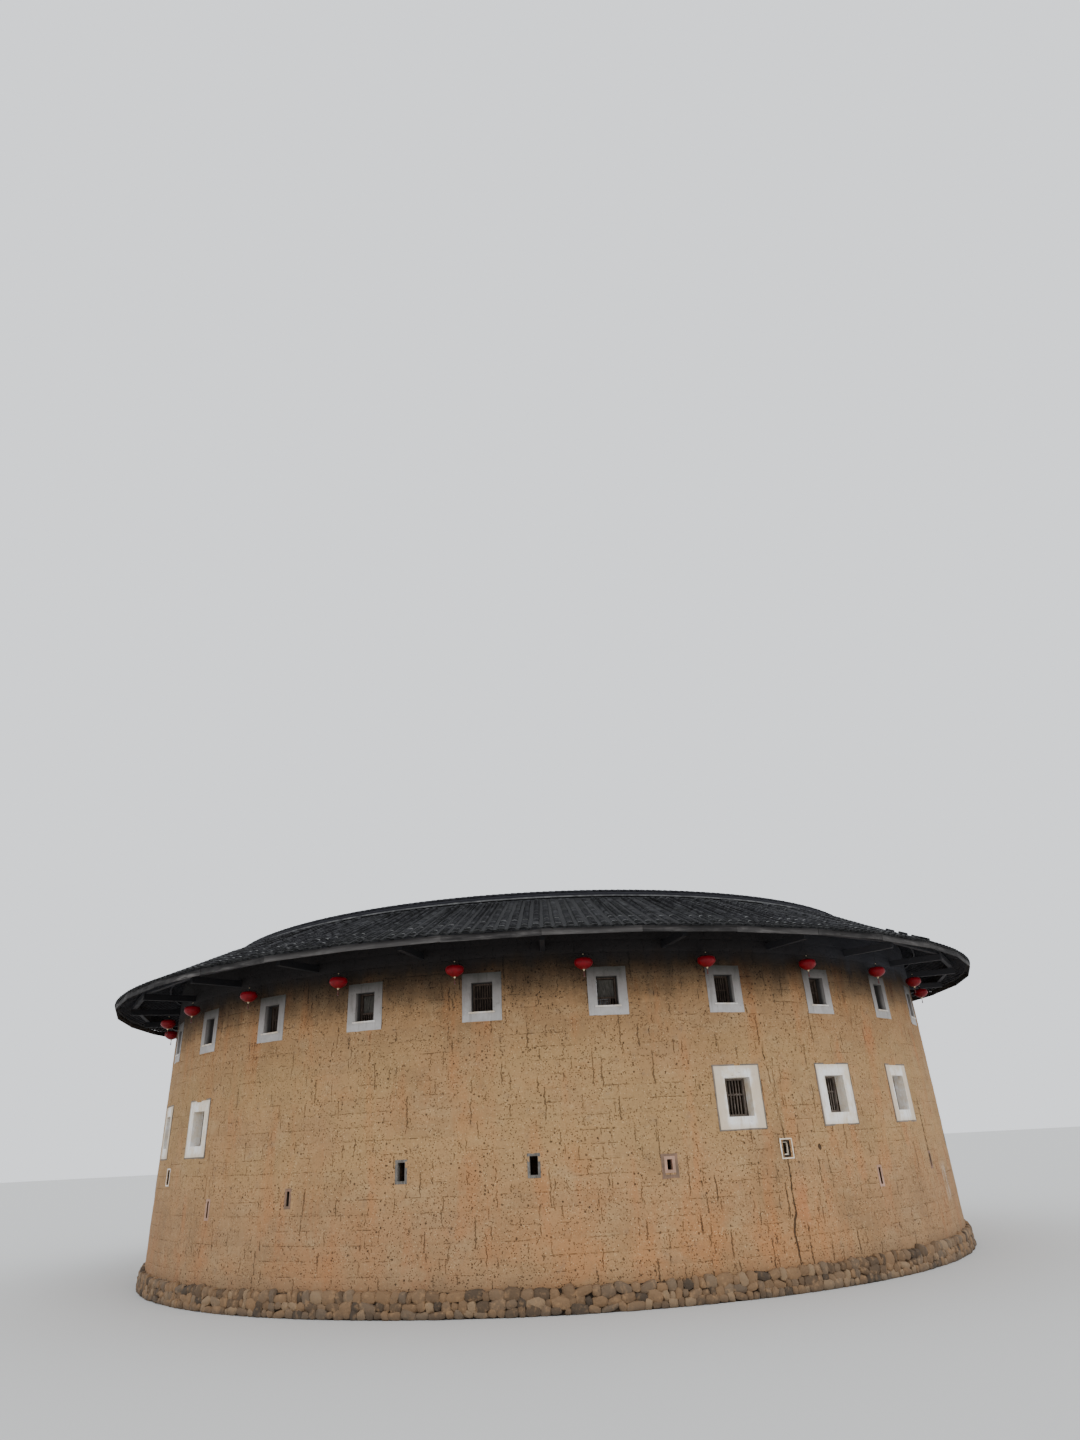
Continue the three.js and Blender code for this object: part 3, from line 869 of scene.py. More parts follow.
# Near black: painted shade on the rafters, purlin and batten under the eaves
SHADED_SOFFIT = sawn_wood(
    "shade_dark_rafters", (0.014, 0.014, 0.017), (0.031, 0.031, 0.036), (0.048, 0.047, 0.053), (1, 1, 1)
)
CASING = sawn_wood(
    "window_casing", (0.027, 0.019, 0.014), (0.088, 0.062, 0.046), (0.17, 0.125, 0.095), (8, 8, 0.8)
)
PALE_WOOD = sawn_wood(
    "pale_casing", (0.075, 0.065, 0.055), (0.165, 0.150, 0.132), (0.27, 0.25, 0.225), (8, 8, 0.8)
)
FASCIA = sawn_wood(
    "weathered_fascia", (0.010, 0.009, 0.009), (0.038, 0.035, 0.034), (0.140, 0.130, 0.124), (0.1, 0.1, 0.9),
    toned=True,
)
OLD_BARS = sawn_wood(
    "weathered_bars", (0.055, 0.040, 0.030), (0.165, 0.132, 0.108), (0.30, 0.255, 0.215), (8, 8, 0.8), 0.3
)
SHUTTER = sawn_wood(
    "grey_shutter", (0.036, 0.032, 0.027), (0.078, 0.071, 0.060), (0.120, 0.110, 0.094), (2, 2, 0.5)
)
DARK_SHUTTER = sawn_wood(
    "dark_shutter", (0.010, 0.007, 0.005), (0.030, 0.021, 0.016), (0.060, 0.042, 0.030), (9, 9, 0.4)
)
BOARDS = storey_boards()
LEAVES = sawn_wood(
    "gate_boards", (0.035, 0.022, 0.015), (0.095, 0.060, 0.038), (0.17, 0.11, 0.07), (1, 9, 0.8)
)
TILES = roof_tiles()
SHADED_PANS = tile_bed()
MORTAR = coping_mortar()
SILK = red_silk()
GILT = gilt()
TASSEL = tassel_thread()
IRON = black_iron()


# ---------------------------------------------------------------- earth wall

# Columns of the face of one bay, in degrees from its bay line. The stretches between them
# leave the windows, the vent and the gate as whole cells.
HALF = BAY / 2
UPPER_CELL = 2.066
MIDDLE_CELL = 2.639
GATE_CELL = 3.61
VENT_AT = BAY + VENT_OFF_BAY_LINE
NARROW_VENT_CELL = 0.24
WIDE_VENT_CELL = 0.45
COLUMNS = sorted(
    [0, BAY]
    + [HALF + side * cell for side in (-1, 1) for cell in (UPPER_CELL, MIDDLE_CELL, GATE_CELL)]
    + [VENT_AT + side * cell for side in (-1, 1) for cell in (NARROW_VENT_CELL, WIDE_VENT_CELL)]
)
OVERLAP = 0.04  # how far the plaster laps over the edge of its cell
VENT_BORDER = 0.075
GATE_CELL_TOP = 3.07
FACE_PROUD = 0.015  # how far the face stands out from the solid


def hole_heights(opening, border):
    reach = opening["height"] / 2 + border - OVERLAP
    return opening["centre"] - reach, opening["centre"] + reach


HOLES = [
    hole_heights(UPPER, UPPER["band"]),
    hole_heights(MIDDLE, MIDDLE["band"]),
    *[hole_heights(vent, VENT_BORDER) for vent in VENTS],
]


def face_rows():
    """(radius, height) of the rows of the wall's face, with a groove at each layer's joint."""
    rows = [(wall_face(0.45) + FACE_PROUD, 0.45)]
    level = PLINTH_TOP
    while level < WALL_TOP - 0.1:
        top = min(level + LIFT, WALL_TOP - 0.01)
        out = 0.017 + dice.uniform(-0.002, 0.002)
        for z, proud in (
            (level, 0.014),
            (level + 0.014, out),
            (level + 0.13, out + 0.002),
            (level + 0.26, out + 0.001),
            (top - 0.014, out - 0.001),
        ):
            rows.append((wall_face(z) + proud, z))
        level += LIFT
    rows.append((wall_face(WALL_TOP - 0.01) + FACE_PROUD, WALL_TOP - 0.01))
    edges = [z for hole in HOLES for z in hole] + [GATE_CELL_TOP]
    kept = [row for row in rows if all(abs(row[1] - z) > 0.03 for z in edges)]
    kept += [(wall_face(z) + FACE_PROUD, z) for z in edges]
    return sorted(kept, key=lambda row: row[1])


def one_bay_of_face():
    face = drawn([(0, -r, z) for r, z in face_rows()], closed=False)
    with editing(face):
        for near, far in zip(COLUMNS, COLUMNS[1:]):
            sweep(far - near, max(1, math.ceil((far - near) / 0.55)))
    return outward(face, 0.0005)


def cut_openings(face, bay):
    """Takes out the cells of one bay's face where its windows, vent and gate are."""
    vent = VENTS[(bay + 1) % BAYS % len(VENTS)]
    vent_cell = WIDE_VENT_CELL if vent["width"] > 0.15 else NARROW_VENT_CELL
    cells = [(HALF, UPPER_CELL, *HOLES[0]), (VENT_AT, vent_cell, *hole_heights(vent, VENT_BORDER))]
    if bay in MIDDLE_BAYS:
        cells.append((HALF, MIDDLE_CELL, *HOLES[1]))
    if bay == GATE_BAY:
        cells.append((HALF, GATE_CELL, 0.0, GATE_CELL_TOP))

    def in_a_cell(part):
        centre = part.calc_center_median()
        turn = math.degrees(math.atan2(centre.x, -centre.y))
        return any(abs(turn - at) < reach and low < centre.z < high for at, reach, low, high in cells)

    with editing(face):
        choose("FACE", in_a_cell)
        bpy.ops.mesh.delete(type="FACE")


def make_wall_faces():
    model = one_bay_of_face()
    swell, lumps = clouds("swell", 1.1), clouds("lumps", 0.32)
    bays = []
    for bay in range(BAYS):
        face = turned_copy(model, 0)
        cut_openings(face, bay)
        face.rotation_euler.z = math.radians(bay * BAY)
        bays.append(face)
    used_up([model])
    for i in range(SEGMENTS):
        face = joined(bays[2 * i : 2 * i + 2], f"earth_face_{i + 1:02d}")
        with editing(face):
            bpy.ops.mesh.remove_doubles(threshold=0.0005)
        made_uneven(face, swell, 0.022)
        made_uneven(face, lumps, 0.012)
        first = face.data.polygons[0]
        if first.normal.x * first.center.x + first.normal.y * first.center.y < 0:
            turned_over(face)
        shaped(face, "SOLIDIFY", thickness=0.012, offset=-1.0)
        finished(smoothed(face, 50), EARTH)


# ---------------------------------------------------------------- window dressing

SLEEVE = 0.006  # how far the plaster narrows an opening on each side


def on_wall(piece, centre, extra=0.0):
    """Leans a piece made at the origin with the wall and sets it on the face at a height."""
    return place(piece, move=(0, -(wall_face(centre) * FACET + extra), centre), turn=(-LEAN, 0, 0))


def flange(centre, width, height, border, proud, sleeve, thickness=0.022, ragged=0.006, cuts=5):
    """Plaster round an opening of the wall, with a sleeve that lines it."""
    half_w, half_h = width / 2, height / 2

    def at_the_rim(v):
        outer_w, outer_h = half_w + border, half_h + border
        return abs(abs(v.co.x) - outer_w) < 1e-4 or abs(abs(v.co.z) - outer_h) < 1e-4

    def at_the_opening(e):
        return all(abs(v.co.x) < half_w + 1e-4 and abs(v.co.z) < half_h + 1e-4 for v in e.verts)

    def on_the_face(v):
        beside = abs(v.co.x) > half_w + 0.02 or abs(v.co.z) > half_h + 0.02
        return beside and v.co.y < thickness * 0.5

    piece = settle(added(bpy.ops.mesh.primitive_plane_add, size=1, rotation=(math.pi / 2, 0, 0)))
    place(piece, size=(width + 2 * border, 1, height + 2 * border))
    with editing(piece):
        bpy.ops.mesh.select_mode(type="FACE")
        bpy.ops.mesh.inset(thickness=border)
        bpy.ops.mesh.delete(type="FACE")
        choose_all()
        bpy.ops.mesh.subdivide(number_cuts=cuts)
        choose("VERT", at_the_rim)
        bpy.ops.transform.vertex_random(offset=ragged, seed=dice.randrange(999))
        scale_about((0, 0, 0), 1, 0, 1)
        choose("EDGE", at_the_opening)
        pull((0, sleeve, 0))
        face_outward()
    if piece.data.polygons[0].normal.y > 0:
        turned_over(piece)
    shaped(piece, "SOLIDIFY", thickness=thickness, offset=-1.0, use_even_offset=True)
    with editing(piece):
        choose("VERT", on_the_face)
        bpy.ops.transform.vertex_random(offset=0.002, seed=dice.randrange(999))
    return on_wall(place(piece, move=(0, -proud, 0)), centre)


def plaster_bands(opening, proud, sleeve, ragged):
    """Four models of the plaster round one kind of window."""
    width, height = (opening[side] - 2 * SLEEVE for side in ("width", "height"))
    border = opening["band"] + SLEEVE
    return [flange(opening["centre"], width, height, border, proud, sleeve, ragged=ragged) for _ in range(4)]


def casing(opening, depth, board=0.055, back=0.09):
    """Four boards that line an opening, some way back from the face."""
    width, height = opening["width"] - 0.02, opening["height"] - 0.02
    boards = []
    for side in (-1, 1):
        boards.append(timber_block((board, back, height), (side * (width - board) / 2, depth, 0)))
        boards.append(timber_block((width - 2 * board, back, board), (0, depth, side * (height - board) / 2)))
    return boards


def bars(width, height, depth, count, size, low=None):
    """Upright square bars, set corner on, in the lower part of an opening if low is given."""
    tall = low or height
    return [
        timber_block(
            (size, size, tall),
            ((i + 1) * width / (count + 1) - width / 2, depth, (tall - height) / 2),
            0.003,
            (0, 0, math.radians(45 if i % 2 else 40)),
        )
        for i in range(count)
    ]


def set_back(pieces, centre):
    return place(joined(pieces, "model"), move=(0, -wall_face(centre) * FACET, centre))


def make_upper_windows():
    w, h, centre = UPPER["width"], UPPER["height"], UPPER["centre"]
    bands = plaster_bands(UPPER, 0.034, 0.30, 0.006)
    round_the_ring(bands, WINDOW_BEARINGS, "upper_plaster", GREY_PLASTER)
    # A brighter sill laid on the lower edge of the opening
    sill = on_wall(timber_block((w + 0.14, 0.16, 0.050), (-0.01, 0.02, -h / 2 - 0.012), 0.010), centre, 0.014)
    round_the_ring(sill, WINDOW_BEARINGS, "upper_sills", WHITE_PLASTER)
    # Two kinds of timber work: a shutter over short balusters, and bars all the way up
    depth = 0.34
    inner_w, inner_h = w - 0.13, h - 0.13
    panelled = [*casing(UPPER, depth), *bars(inner_w, inner_h, depth, 7, 0.026, 0.2)]
    panelled.append(timber_block((inner_w, 0.05, 0.05), (0, depth, -inner_h / 2 + 0.22)))
    barred = [*casing(UPPER, depth), *bars(inner_w, inner_h, depth, 6, 0.026)]
    barred.append(timber_block((inner_w, 0.03, 0.04), (0, depth + 0.02, 0)))
    panel = timber_block((inner_w - 0.03, 0.022, inner_h - 0.26), (0, depth + 0.03, 0.12))
    with editing(panel):
        choose("FACE", lambda f: f.normal.y < -0.9)
        bpy.ops.mesh.inset(thickness=0.06)
        bpy.ops.transform.translate(value=(0, 0.008, 0))
    # Boards closed behind the bars
    closed = [
        timber_block(
            (inner_w / 2 + 0.03, 0.022, inner_h + 0.08),
            (side * inner_w / 4, depth + 0.075 + 0.012 * side, 0),
            0.004,
        )
        for side in (-1, 1)
    ]
    with_panel = WINDOW_BEARINGS[::3]
    with_bars = [at for bay, at in enumerate(WINDOW_BEARINGS) if bay % 3]
    for pieces, where, name, finish, slot in (
        (panelled, with_panel, "upper_shutter_frames", CASING, "timber"),
        (barred, with_bars, "upper_bars", CASING, "timber"),
        ([panel], with_panel, "upper_shutters", SHUTTER, "board"),
        (closed, with_bars, "upper_closed_boards", DARK_SHUTTER, "board"),
    ):
        round_the_ring(set_back(pieces, centre), where, name, finish)


def make_middle_windows():
    w, h, centre = MIDDLE["width"], MIDDLE["height"], MIDDLE["centre"]
    where = [WINDOW_BEARINGS[bay] for bay in MIDDLE_BAYS]
    bands = plaster_bands(MIDDLE, 0.036, 0.36, 0.01)
    round_the_ring(bands, where, "middle_plaster", MIDDLE_PLASTER)
    # A dark rough rim round the plaster's edge, painted as the thin shadow along it
    width, height = (side + 2 * MIDDLE["band"] - 0.03 for side in (w, h))
    rims = [flange(centre, width, height, 0.06, 0.030, 0.02, ragged=0.015) for _ in range(3)]
    round_the_ring(rims, where, "middle_plaster_shadow_rims", SHADOW_LINE_RENDER)
    depth = 0.40
    inner_w = w - 0.15
    work = [*casing(MIDDLE, depth, 0.065), *bars(inner_w, h - 0.15, depth, 6, 0.034)]
    work.append(timber_block((inner_w, 0.03, 0.05), (0, depth + 0.03, 0.08)))
    round_the_ring(set_back(work, centre), where, "middle_bars", OLD_BARS)


def make_vents():
    # Name, finish, slot, border, how proud and how deep the rim of each kind is
    kinds = [
        ("vent_casings", PALE_WOOD, "board", 0.080, 0.032, 0.16),
        ("vent_rough_rims", PINK_PLASTER, "earth", 0.085, 0.042, 0.16),
        ("vent_dark_frames", DARK_SHUTTER, "board", 0.080, 0.022, 0.06),
        ("slit_rims_tall", PINK_PLASTER, "earth", 0.080, 0.034, 0.02),
        ("slit_rims_short", ROSE_RENDER, "earth", 0.080, 0.032, 0.02),
    ]
    for kind, (name, finish, slot, border, proud, sleeve) in enumerate(kinds):
        w, h, centre = VENTS[kind]["width"], VENTS[kind]["height"], VENTS[kind]["centre"]
        where = [bay * BAY + VENT_OFF_BAY_LINE for bay in range(kind, BAYS, len(VENTS))]
        rim = flange(centre, w - 0.01, h - 0.01, border, proud, sleeve, 0.02, 0.008, 3)
        if name == "vent_rough_rims":
            patch = flange(centre - 0.04, 0.32, 0.46, 0.10, 0.037, 0.01, 0.016, 0.014, 4)
            round_the_ring(patch, where, "vent_old_patches", ROSE_RENDER)
        if name == "vent_dark_frames":
            # A thin white rim on the face and a white frame some way in
            line = flange(centre, 0.40, 0.51, 0.035, 0.042, 0.03, 0.016, 0.006, 4)
            round_the_ring(line, where, "vent_white_rims", WHITE_PLASTER)
            inner = flange(centre + 0.01, w - 0.075, h - 0.09, 0.034, -0.06, 0.05, 0.016, 0.004, 2)
            round_the_ring(inner, where, "vent_white_frames", WHITE_PLASTER)
        round_the_ring(rim, where, name, finish)


# ---------------------------------------------------------------- plinth

STONES_AT = 16.93
GATE_BEARING = 270
GATE_CLEAR = 3.75  # degrees without high stones on either side


def rubble_model(seed):
    """A rough stone about a metre across, which each copy scales to its own size."""
    stone = added(bpy.ops.mesh.primitive_cube_add, size=1)
    with editing(stone):
        bpy.ops.mesh.subdivide(number_cuts=2)
        bpy.ops.transform.tosphere(value=0.72)
        bpy.ops.transform.vertex_random(offset=0.09, seed=seed)
    return stone


def give_tone(piece):
    """One number for the whole piece, which its material reads as its tone."""
    tone = piece.data.attributes.new("tone", "FLOAT", "FACE")
    tone.data.foreach_set("value", [dice.random()] * len(piece.data.polygons))


def make_plinth_stones():
    models = [rubble_model(seed) for seed in range(12)]
    stones = []
    for low, tall in ((0.0, 0.20), (0.19, 0.21), (0.40, 0.23)):
        at = dice.uniform(0, 1)
        while at < 360:
            wide = dice.choice((dice.uniform(0.15, 0.26), dice.uniform(0.26, 0.50)))
            bearing = at + math.degrees(wide / STONES_AT) / 2
            at += math.degrees((wide + 0.018) / STONES_AT)
            if abs(bearing - GATE_BEARING) < GATE_CLEAR and low + tall > 0.3:
                continue
            high = tall * dice.uniform(0.85, 1.55)
            stone = turned_copy(dice.choice(models), bearing)
            give_tone(stone)
            stone.scale = (wide * 1.04, dice.uniform(0.21, 0.26), high)
            stone.rotation_euler.y = math.radians(dice.uniform(-22, 22))
            lift = low + tall * 0.5 + dice.uniform(-0.03, 0.03)
            out = STONES_AT - 0.015 - 0.066 * lift / PLINTH_TOP + dice.uniform(-0.012, 0.012)
            angle = math.radians(bearing)
            stone.location = (out * math.sin(angle), -out * math.cos(angle), lift)
            stones.append(stone)
    used_up(models)
    wall = joined(stones, "plinth_stones")
    with editing(wall):
        choose("VERT", lambda v: v.co.z < 0.003)
        scale_about((0, 0, 0.003), 1, 1, 0)
    finished(smoothed(wall, 42), RUBBLE)


# ---------------------------------------------------------------- roof


def along_slope(run, lift=0.0, side=1):
    """A point at -Y, by its distance from the ridge and its height over the roof's surface."""
    r = RIDGE_AT + side * run
    return Vector((0, -(r + side * lift * math.sin(SLOPE)), roof_top(r) + lift * math.cos(SLOPE)))


def slope_ways(side):
    """Up the slope and square to it, at -Y."""
    up = (along_slope(0, 0, side) - along_slope(1, 0, side)).normalized()
    return up, Vector((0, -side * math.sin(SLOPE), math.cos(SLOPE)))


def tile_end(arc, base, side, wide, tall, closed=True):
    """The end of a curved tile, square to the slope."""
    square = slope_ways(side)[1]
    return drawn([base + Vector((x * wide, 0, 0)) + square * (y * tall) for x, y in arc], closed)


def cover_row(side, width_eave, width_ridge):
    """One row of cover tiles from eave to ridge, each tile lapping the one below."""
    arc = [(-0.5, 0.0), (-0.36, 0.7), (0.0, 1.0), (0.36, 0.7), (0.5, 0.0)]
    up = slope_ways(side)[0]
    spot = along_slope(ROOF_RUN - 0.01, -0.075, side)
    step = up * ((along_slope(0.16, -0.075, side) - spot).length / COURSES)
    row = tile_end(arc, spot, side, width_eave, 0.052)
    taper = (width_ridge / width_eave) ** (1 / COURSES)
    narrow, drop = 0.94, 0.72
    with editing(row):
        for course in range(COURSES):
            pull(step)
            spot += step
            scale_about(spot, taper * narrow, drop, drop)
            if course == COURSES - 1:
                break
            raised = 1 / drop * dice.uniform(0.90, 1.12)
            nudge = Vector((dice.uniform(-0.008, 0.008), 0, 0))
            pull(nudge - up * dice.uniform(0.004, 0.02))
            scale_about(spot, 1 / narrow, raised, raised)
    return outward(row, 0.0001)


def make_cover_rows(name, side, count, width_eave, width_ridge, node):
    models = [cover_row(side, width_eave, width_ridge) for _ in range(7)]
    bearings = [bearing + dice.uniform(-0.03, 0.03) for bearing in evenly(count, 0.5)]
    sag = clouds(f"{name}_sag", 0.7)
    quarter = math.ceil(count / 4)
    for part in range(4):
        here = bearings[part * quarter : (part + 1) * quarter]
        rows = joined([turned_copy(dice.choice(models), bearing) for bearing in here], f"{name}_{part + 1}")
        made_uneven(rows, sag, 0.02)
        finished(smoothed(rows, 40), TILES, node)
    used_up(models)


def make_loose_tiles():
    """Tiles laid loose on one row, near the eave on the right of the photographed side."""
    arc = [(-0.5, 0.0), (-0.42, 0.75), (-0.2, 1.0), (0.2, 1.0), (0.42, 0.75), (0.5, 0.0)]
    up = slope_ways(1)[0]
    tiles = []
    for run in (3.52, 3.98, 4.43, 4.74):
        wide, tall, length = dice.uniform(0.20, 0.23), dice.uniform(0.07, 0.085), dice.uniform(0.25, 0.31)
        tile = tile_end(arc, along_slope(run, -0.036), 1, wide, tall)
        with editing(tile):
            pull(up * length)
        tiles.append(outward(tile, 0.0001))
    loose = place(joined(tiles, "loose_tiles"), turn=(0, 0, math.radians(360 / OUTER_ROWS * 43.5)))
    finished(loose, TILES, "outer_roof")


def make_deck(name, side, steps, node):
    """The bed of pan tiles over boards, as one thin ring."""
    far = ROOF_RUN - 0.03
    corners = [
        along_slope(run, lift, side)
        for run, lift in ((0.02, -0.07), (far, -0.07), (far, -0.115), (0.02, -0.115))
    ]
    ring = spun_ring(name, steps, (0, 0), [(-corner.y, corner.z) for corner in corners])
    finished(smoothed(ring, 20), SHADED_PANS, node)


def make_drips(name, side, count, wide, node):
    """The curved ends of the rows of pan tiles, with a lip that hangs over the eave board."""
    arc = [(-0.5, 0.55), (-0.25, 0.15), (0.0, 0.0), (0.25, 0.15), (0.5, 0.55)]
    up, square = slope_ways(side)
    tile = tile_end(arc, along_slope(ROOF_RUN - 0.25, -0.085, side), side, wide, 0.06, closed=False)
    with editing(tile):
        pull(up * -0.235)
        pull(up * -0.004 - square * 0.045)
        face_outward()
    shaped(tile, "SOLIDIFY", thickness=0.014, offset=0)
    round_the_ring(tile, evenly(count), name, TILES, node, 40)


def make_rafters(name, side, count, node):
    start = along_slope(0.08, -0.155, side)
    end = along_slope(ROOF_RUN - 0.16, -0.155, side)
    span = end - start
    tilt = math.atan2(span.z, -span.y * side) * side
    rafter = timber_block((0.085, span.length, 0.075), (start + end) / 2, 0.005, (-tilt, 0, 0))
    round_the_ring(rafter, evenly(count, 0.5), name, SHADED_SOFFIT, node)


def make_ridge():
    right = [(0.25, -0.135), (0.23, -0.035), (0.15, 0.055)]
    outline = [(-0.25, -0.135), *right, (-0.15, 0.055), (-0.23, -0.035)]
    bed = spun_ring("ridge_bed", 208, (RIDGE_AT, RIDGE_TOP), outline)
    finished(smoothed(bed, 30), MORTAR, "roof_ridge")
    # Saddle tiles, each lapping the next
    arc = [(-0.17, 0.0), (-0.12, 0.07), (0.0, 0.105), (0.12, 0.07), (0.17, 0.0)]
    models = []
    for _ in range(3):
        saddle = drawn([(-0.125, -(RIDGE_AT + r), RIDGE_TOP + 0.055 + z) for r, z in arc], closed=False)
        with editing(saddle):
            pull((0.25, 0, -0.016))
            face_outward()
        shaped(saddle, "SOLIDIFY", thickness=0.016, offset=1)
        models.append(place(saddle, move=(0, dice.uniform(-0.008, 0.008), dice.uniform(-0.024, -0.018))))
    round_the_ring(models, evenly(404), "ridge_saddles", TILES, "roof_ridge", 40)


def make_fascia(name, side, node):
    """Straight weathered eave boards, whose ends don't quite meet in line."""
    count = 39
    low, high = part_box(node)
    mid = (low[2] + high[2]) / 2
    reach = RIDGE_AT + side * (ROOF_RUN - 0.15)
    half_turn = math.pi / count
    apothem = reach + 0.02 if side > 0 else (reach - 0.02) * math.cos(half_turn) - 0.005
    length = 2 * apothem * math.tan(half_turn)
    boards = []
    for bearing in evenly(count, 0.5):
        size = (length * dice.uniform(0.995, 1.012), 0.030, 0.190)
        aside, out, lift = dice.uniform(-0.02, 0.02), dice.uniform(0, 0.012), dice.uniform(-0.016, 0.006)
        turn = (0, math.radians(dice.uniform(-0.3, 0.3)), 0)
        board = timber_block(size, (aside, -apothem - out, mid + 0.016 + lift), 0.004, turn)
        board.rotation_euler.z = math.radians(bearing)
        give_tone(board)
        boards.append(board)
    finished(joined(boards, name), FASCIA, node)


# ---------------------------------------------------------------- lanterns

# How each ring of a ball widens and sinks to make the globe: fullest above the middle, with a
# broad flat crown and a narrower foot
LANTERN_SHAPE = [
    (1.0, 1.0, 0.87),
    (0.975, 1.7, 0.885),
    (0.901, 1.38, 0.925),
    (0.782, 1.24, 0.97),
    (0.623, 1.15, 1.0),
    (0.434, 1.06, 1.0),
    (-0.222, 0.96, 1.0),
    (-0.434, 0.91, 1.0),
    (-0.623, 0.87, 1.0),
    (-0.782, 0.84, 1.0),
    (-0.901, 0.84, 1.0),
]


def lantern_globe():
    globe = added(bpy.ops.mesh.primitive_uv_sphere_add, segments=36, ring_count=14, radius=1)

    def in_a_hollow(v):
        rib = round(math.degrees(math.atan2(v.co.y, v.co.x)) / 10)
        return math.hypot(v.co.x, v.co.y) > 0.1 and rib % 2 == 1

    with editing(globe):
        choose("VERT", in_a_hollow)
        scale_about((0, 0, 0), 0.965, 0.965, 1)
        for level, wider, lower in LANTERN_SHAPE:
            choose("VERT", lambda v: abs(v.co.z - level) < 0.02)
            scale_about((0, 0, 0), wider, wider, lower)
    return place(globe, size=(0.297, 0.297, 0.190))


def make_lanterns():
    where = [bearing + LANTERN_OFF_WINDOW for bearing in WINDOW_BEARINGS]
    tassel = drum(0.012, 0.182, (0, 0, -0.324), 14, top=0.008)
    with editing(tassel):
        choose("VERT", lambda v: v.co.z < -0.4)
        scale_about((0, 0, -0.4), 1.9, 1.9, 1)
    beads = [
        drum(0.046, 0.024, (0, 0, -0.182), 20, 0.006),
        drum(0.026, 0.050, (0, 0, -0.210), 10, 0.010),
        drum(0.017, 0.030, (0, 0, 0.282), 8, 0.005),
    ]
    caps = [drum(0.075, 0.022, (0, 0, 0.170), 20, 0.006), drum(0.012, 0.09, (0, 0, 0.222), 8, 0.003)]
    foot, top = 0.26, 10.80 - LANTERN_CENTRE
    wire = drum(0.005, top - foot, (0, 0, (top + foot) / 2), 6)
    for pieces, name, finish in (
        ([lantern_globe()], "lantern_globes", SILK),
        (beads, "lantern_beads", GILT),
        (caps, "lantern_caps", IRON),
        ([tassel], "lantern_tassels", TASSEL),
        ([wire], "lantern_wires", IRON),
    ):
        model = place(joined(pieces, name), move=(0, -LANTERN_AT, LANTERN_CENTRE))
        round_the_ring(model, where, name, finish, "eave_lanterns", 40)
    outline = [(-0.03, -0.05), (0.03, -0.05), (0.03, -0.006), (-0.03, 0.012)]
    batten = spun_ring("lantern_batten", 104, (LANTERN_AT, roof_top(LANTERN_AT) - 0.2), outline)
    finished(batten, SHADED_SOFFIT, "eave_lanterns")


# ---------------------------------------------------------------- court, galleries and gate


def make_galleries():
    outline = [(0, 0), (0.11, 0), (0.11, 0.045), (0.095, 0.060), (0.015, 0.060), (0, 0.045)]
    for name, level in (("second_rail", 4.15), ("third_rail", 7.15)):
        rail = spun_ring(name, 104, (10.39, level + 0.955), outline)
        finished(smoothed(rail, 30), TIMBER)
        batten = timber_block((0.07, 0.028, 0.86), (0, -10.402, level + 0.45), 0.005)
        round_the_ring(batten, evenly(130, 0.5), f"{name}_battens", TIMBER)
    base = drum(0.17, 0.14, (0, -10.6, 0.372), 12, 0.025)
    round_the_ring(base, evenly(BAYS), "post_bases", STONE)
    kerbs = []
    for _ in range(5):
        size = (dice.uniform(0.382, 0.396), 0.26, 0.308)
        kerbs.append(timber_block(size, (0, -10.302, 0.156 + dice.uniform(-0.002, 0.003)), 0.012))
    round_the_ring(kerbs, evenly(160, 0.5), "court_kerb", STONE)


def make_gate_fittings():
    """Rows of studs on both leaves, set into the boards."""
    studs = [
        place(
            drum(0.022, 0.03, (0, 0, 0), 8, 0.008),
            turn=(0, math.pi / 2, 0),
            move=(side * 0.936, -(15.62 + column * 0.19), 0.62 + row * 0.36),
        )
        for side in (-1, 1)
        for row in range(6)
        for column in range(4)
    ]
    fittings = place(joined(studs, "gate_studs"), turn=(0, 0, math.radians(-90)))
    finished(fittings, IRON)


# ---------------------------------------------------------------- the solids that show


def dress_solids():
    numbers = [f"{i + 1:02d}" for i in range(SEGMENTS)]
    for finish, names in (
        (SHADE_DARK_EARTH, [f"earth_wall_{number}" for number in numbers]),
        (TIMBER, [f"timber_frame_{number}" for number in numbers]),
        (TIMBER, ["inner_eave_purlin", "room_purlin", "ridge_purlin", "wall_plate"]),
        (SHADED_SOFFIT, ["outer_eave_purlin"]),
        (SHADED_BEDDING, ["stone_plinth"]),
        (STONE, ["gate_surround"]),
        (LEAVES, ["gate_leaf_left", "gate_leaf_right"]),
        (EARTH, ["ground_floor"]),
        (BOARDS, ["second_floor", "third_floor", "second_floor_parapet", "third_floor_parapet"]),
    ):
        for name in names:
            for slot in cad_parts[name].material_slots:
                slot.material = finish.material


# ---------------------------------------------------------------- studio


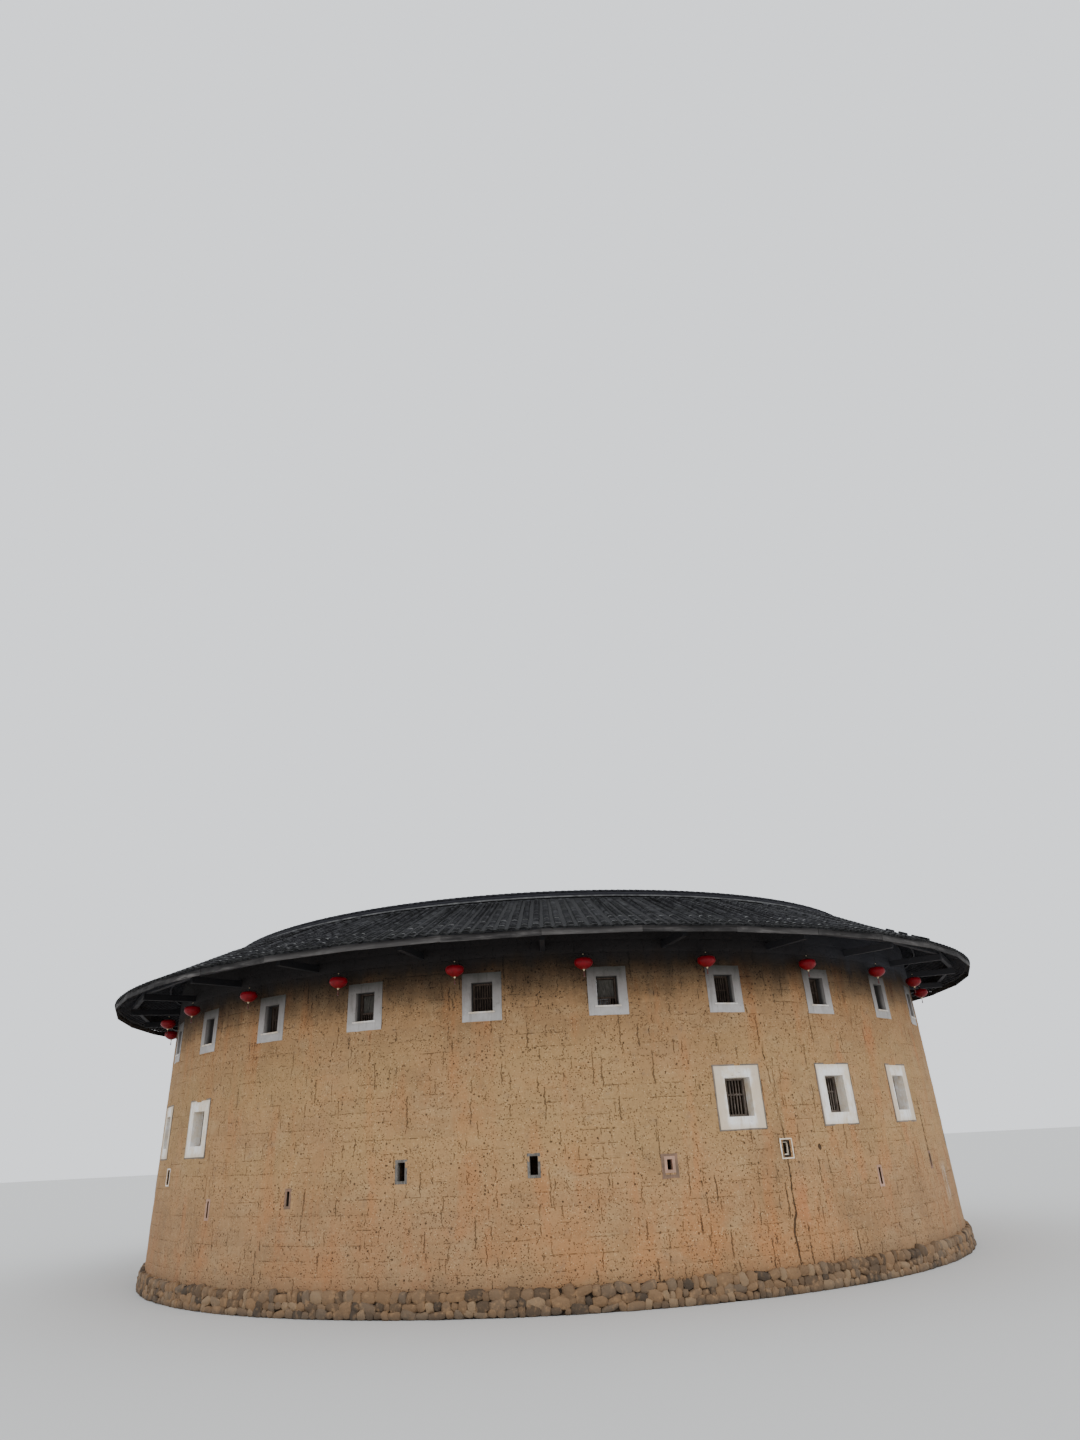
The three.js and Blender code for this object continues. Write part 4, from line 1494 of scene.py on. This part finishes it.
def make_studio():
    floor = added(bpy.ops.mesh.primitive_plane_add, size=600, location=(0, 0, -0.004))
    floor.name = "studio_floor"
    floor.data.materials.append(Finish("studio_floor", 0.2).paint((0.60, 0.60, 0.59, 1), 0.9).material)
    world = bpy.data.worlds.new("studio")
    bpy.context.scene.world = world
    world.use_nodes = True
    sky = world.node_tree.nodes["Background"]
    sky.inputs["Color"].default_value = (0.93, 0.96, 1.0, 1)
    sky.inputs["Strength"].default_value = 1.35
    light = bpy.data.lights.new("soft_key", "SUN")
    light.energy = 0.8
    light.angle = math.radians(40)
    lamp = bpy.data.objects.new("soft_key", light)
    lamp.rotation_euler = (math.radians(38), math.radians(22), 0)
    bpy.context.collection.objects.link(lamp)


def make_camera():
    """The photograph's view, from 4.4 m above the ground and looking well above level."""
    yaw, pitch, roll = 0.0104, 0.4259, -0.0521
    focal, shift, tall = 951, 12, 1440  # pixels of the photograph
    ahead = Vector((math.sin(yaw) * math.cos(pitch), math.cos(yaw) * math.cos(pitch), math.sin(pitch)))
    level = Vector((math.cos(yaw), -math.sin(yaw), 0))
    upward = level.cross(ahead)
    right = math.cos(roll) * level + math.sin(roll) * upward
    up = -math.sin(roll) * level + math.cos(roll) * upward
    camera = bpy.data.objects.new("photo_view", bpy.data.cameras.new("photo_view"))
    bpy.context.collection.objects.link(camera)
    camera.data.sensor_width = 36
    camera.data.lens = focal / tall * 36
    camera.data.shift_y = -shift / tall
    camera.data.clip_end = 1000
    turn = Matrix((right, up, -ahead)).transposed()
    camera.matrix_world = Matrix.Translation((0, -47.59, 4.40)) @ turn.to_4x4()
    bpy.context.scene.camera = camera


make_camera()
make_studio()
make_wall_faces()
make_upper_windows()
make_middle_windows()
make_vents()
make_plinth_stones()
make_cover_rows("outer_tiles", 1, OUTER_ROWS, 0.235, 0.185, "outer_roof")
make_cover_rows("inner_tiles", -1, INNER_ROWS, 0.165, 0.235, "inner_roof")
make_deck("outer_deck", 1, 182, "outer_roof")
make_deck("inner_deck", -1, 130, "inner_roof")
make_drips("outer_drips", 1, OUTER_ROWS, 0.20, "outer_roof")
make_drips("inner_drips", -1, INNER_ROWS, 0.16, "inner_roof")
make_rafters("outer_rafters", 1, 12 * BAYS, "outer_roof")
make_rafters("inner_rafters", -1, 8 * BAYS, "inner_roof")
make_ridge()
make_fascia("outer_eave_boards", 1, "outer_fascia")
make_fascia("inner_eave_boards", -1, "inner_fascia")
make_lanterns()
make_galleries()
make_gate_fittings()
make_loose_tiles()
dress_solids()
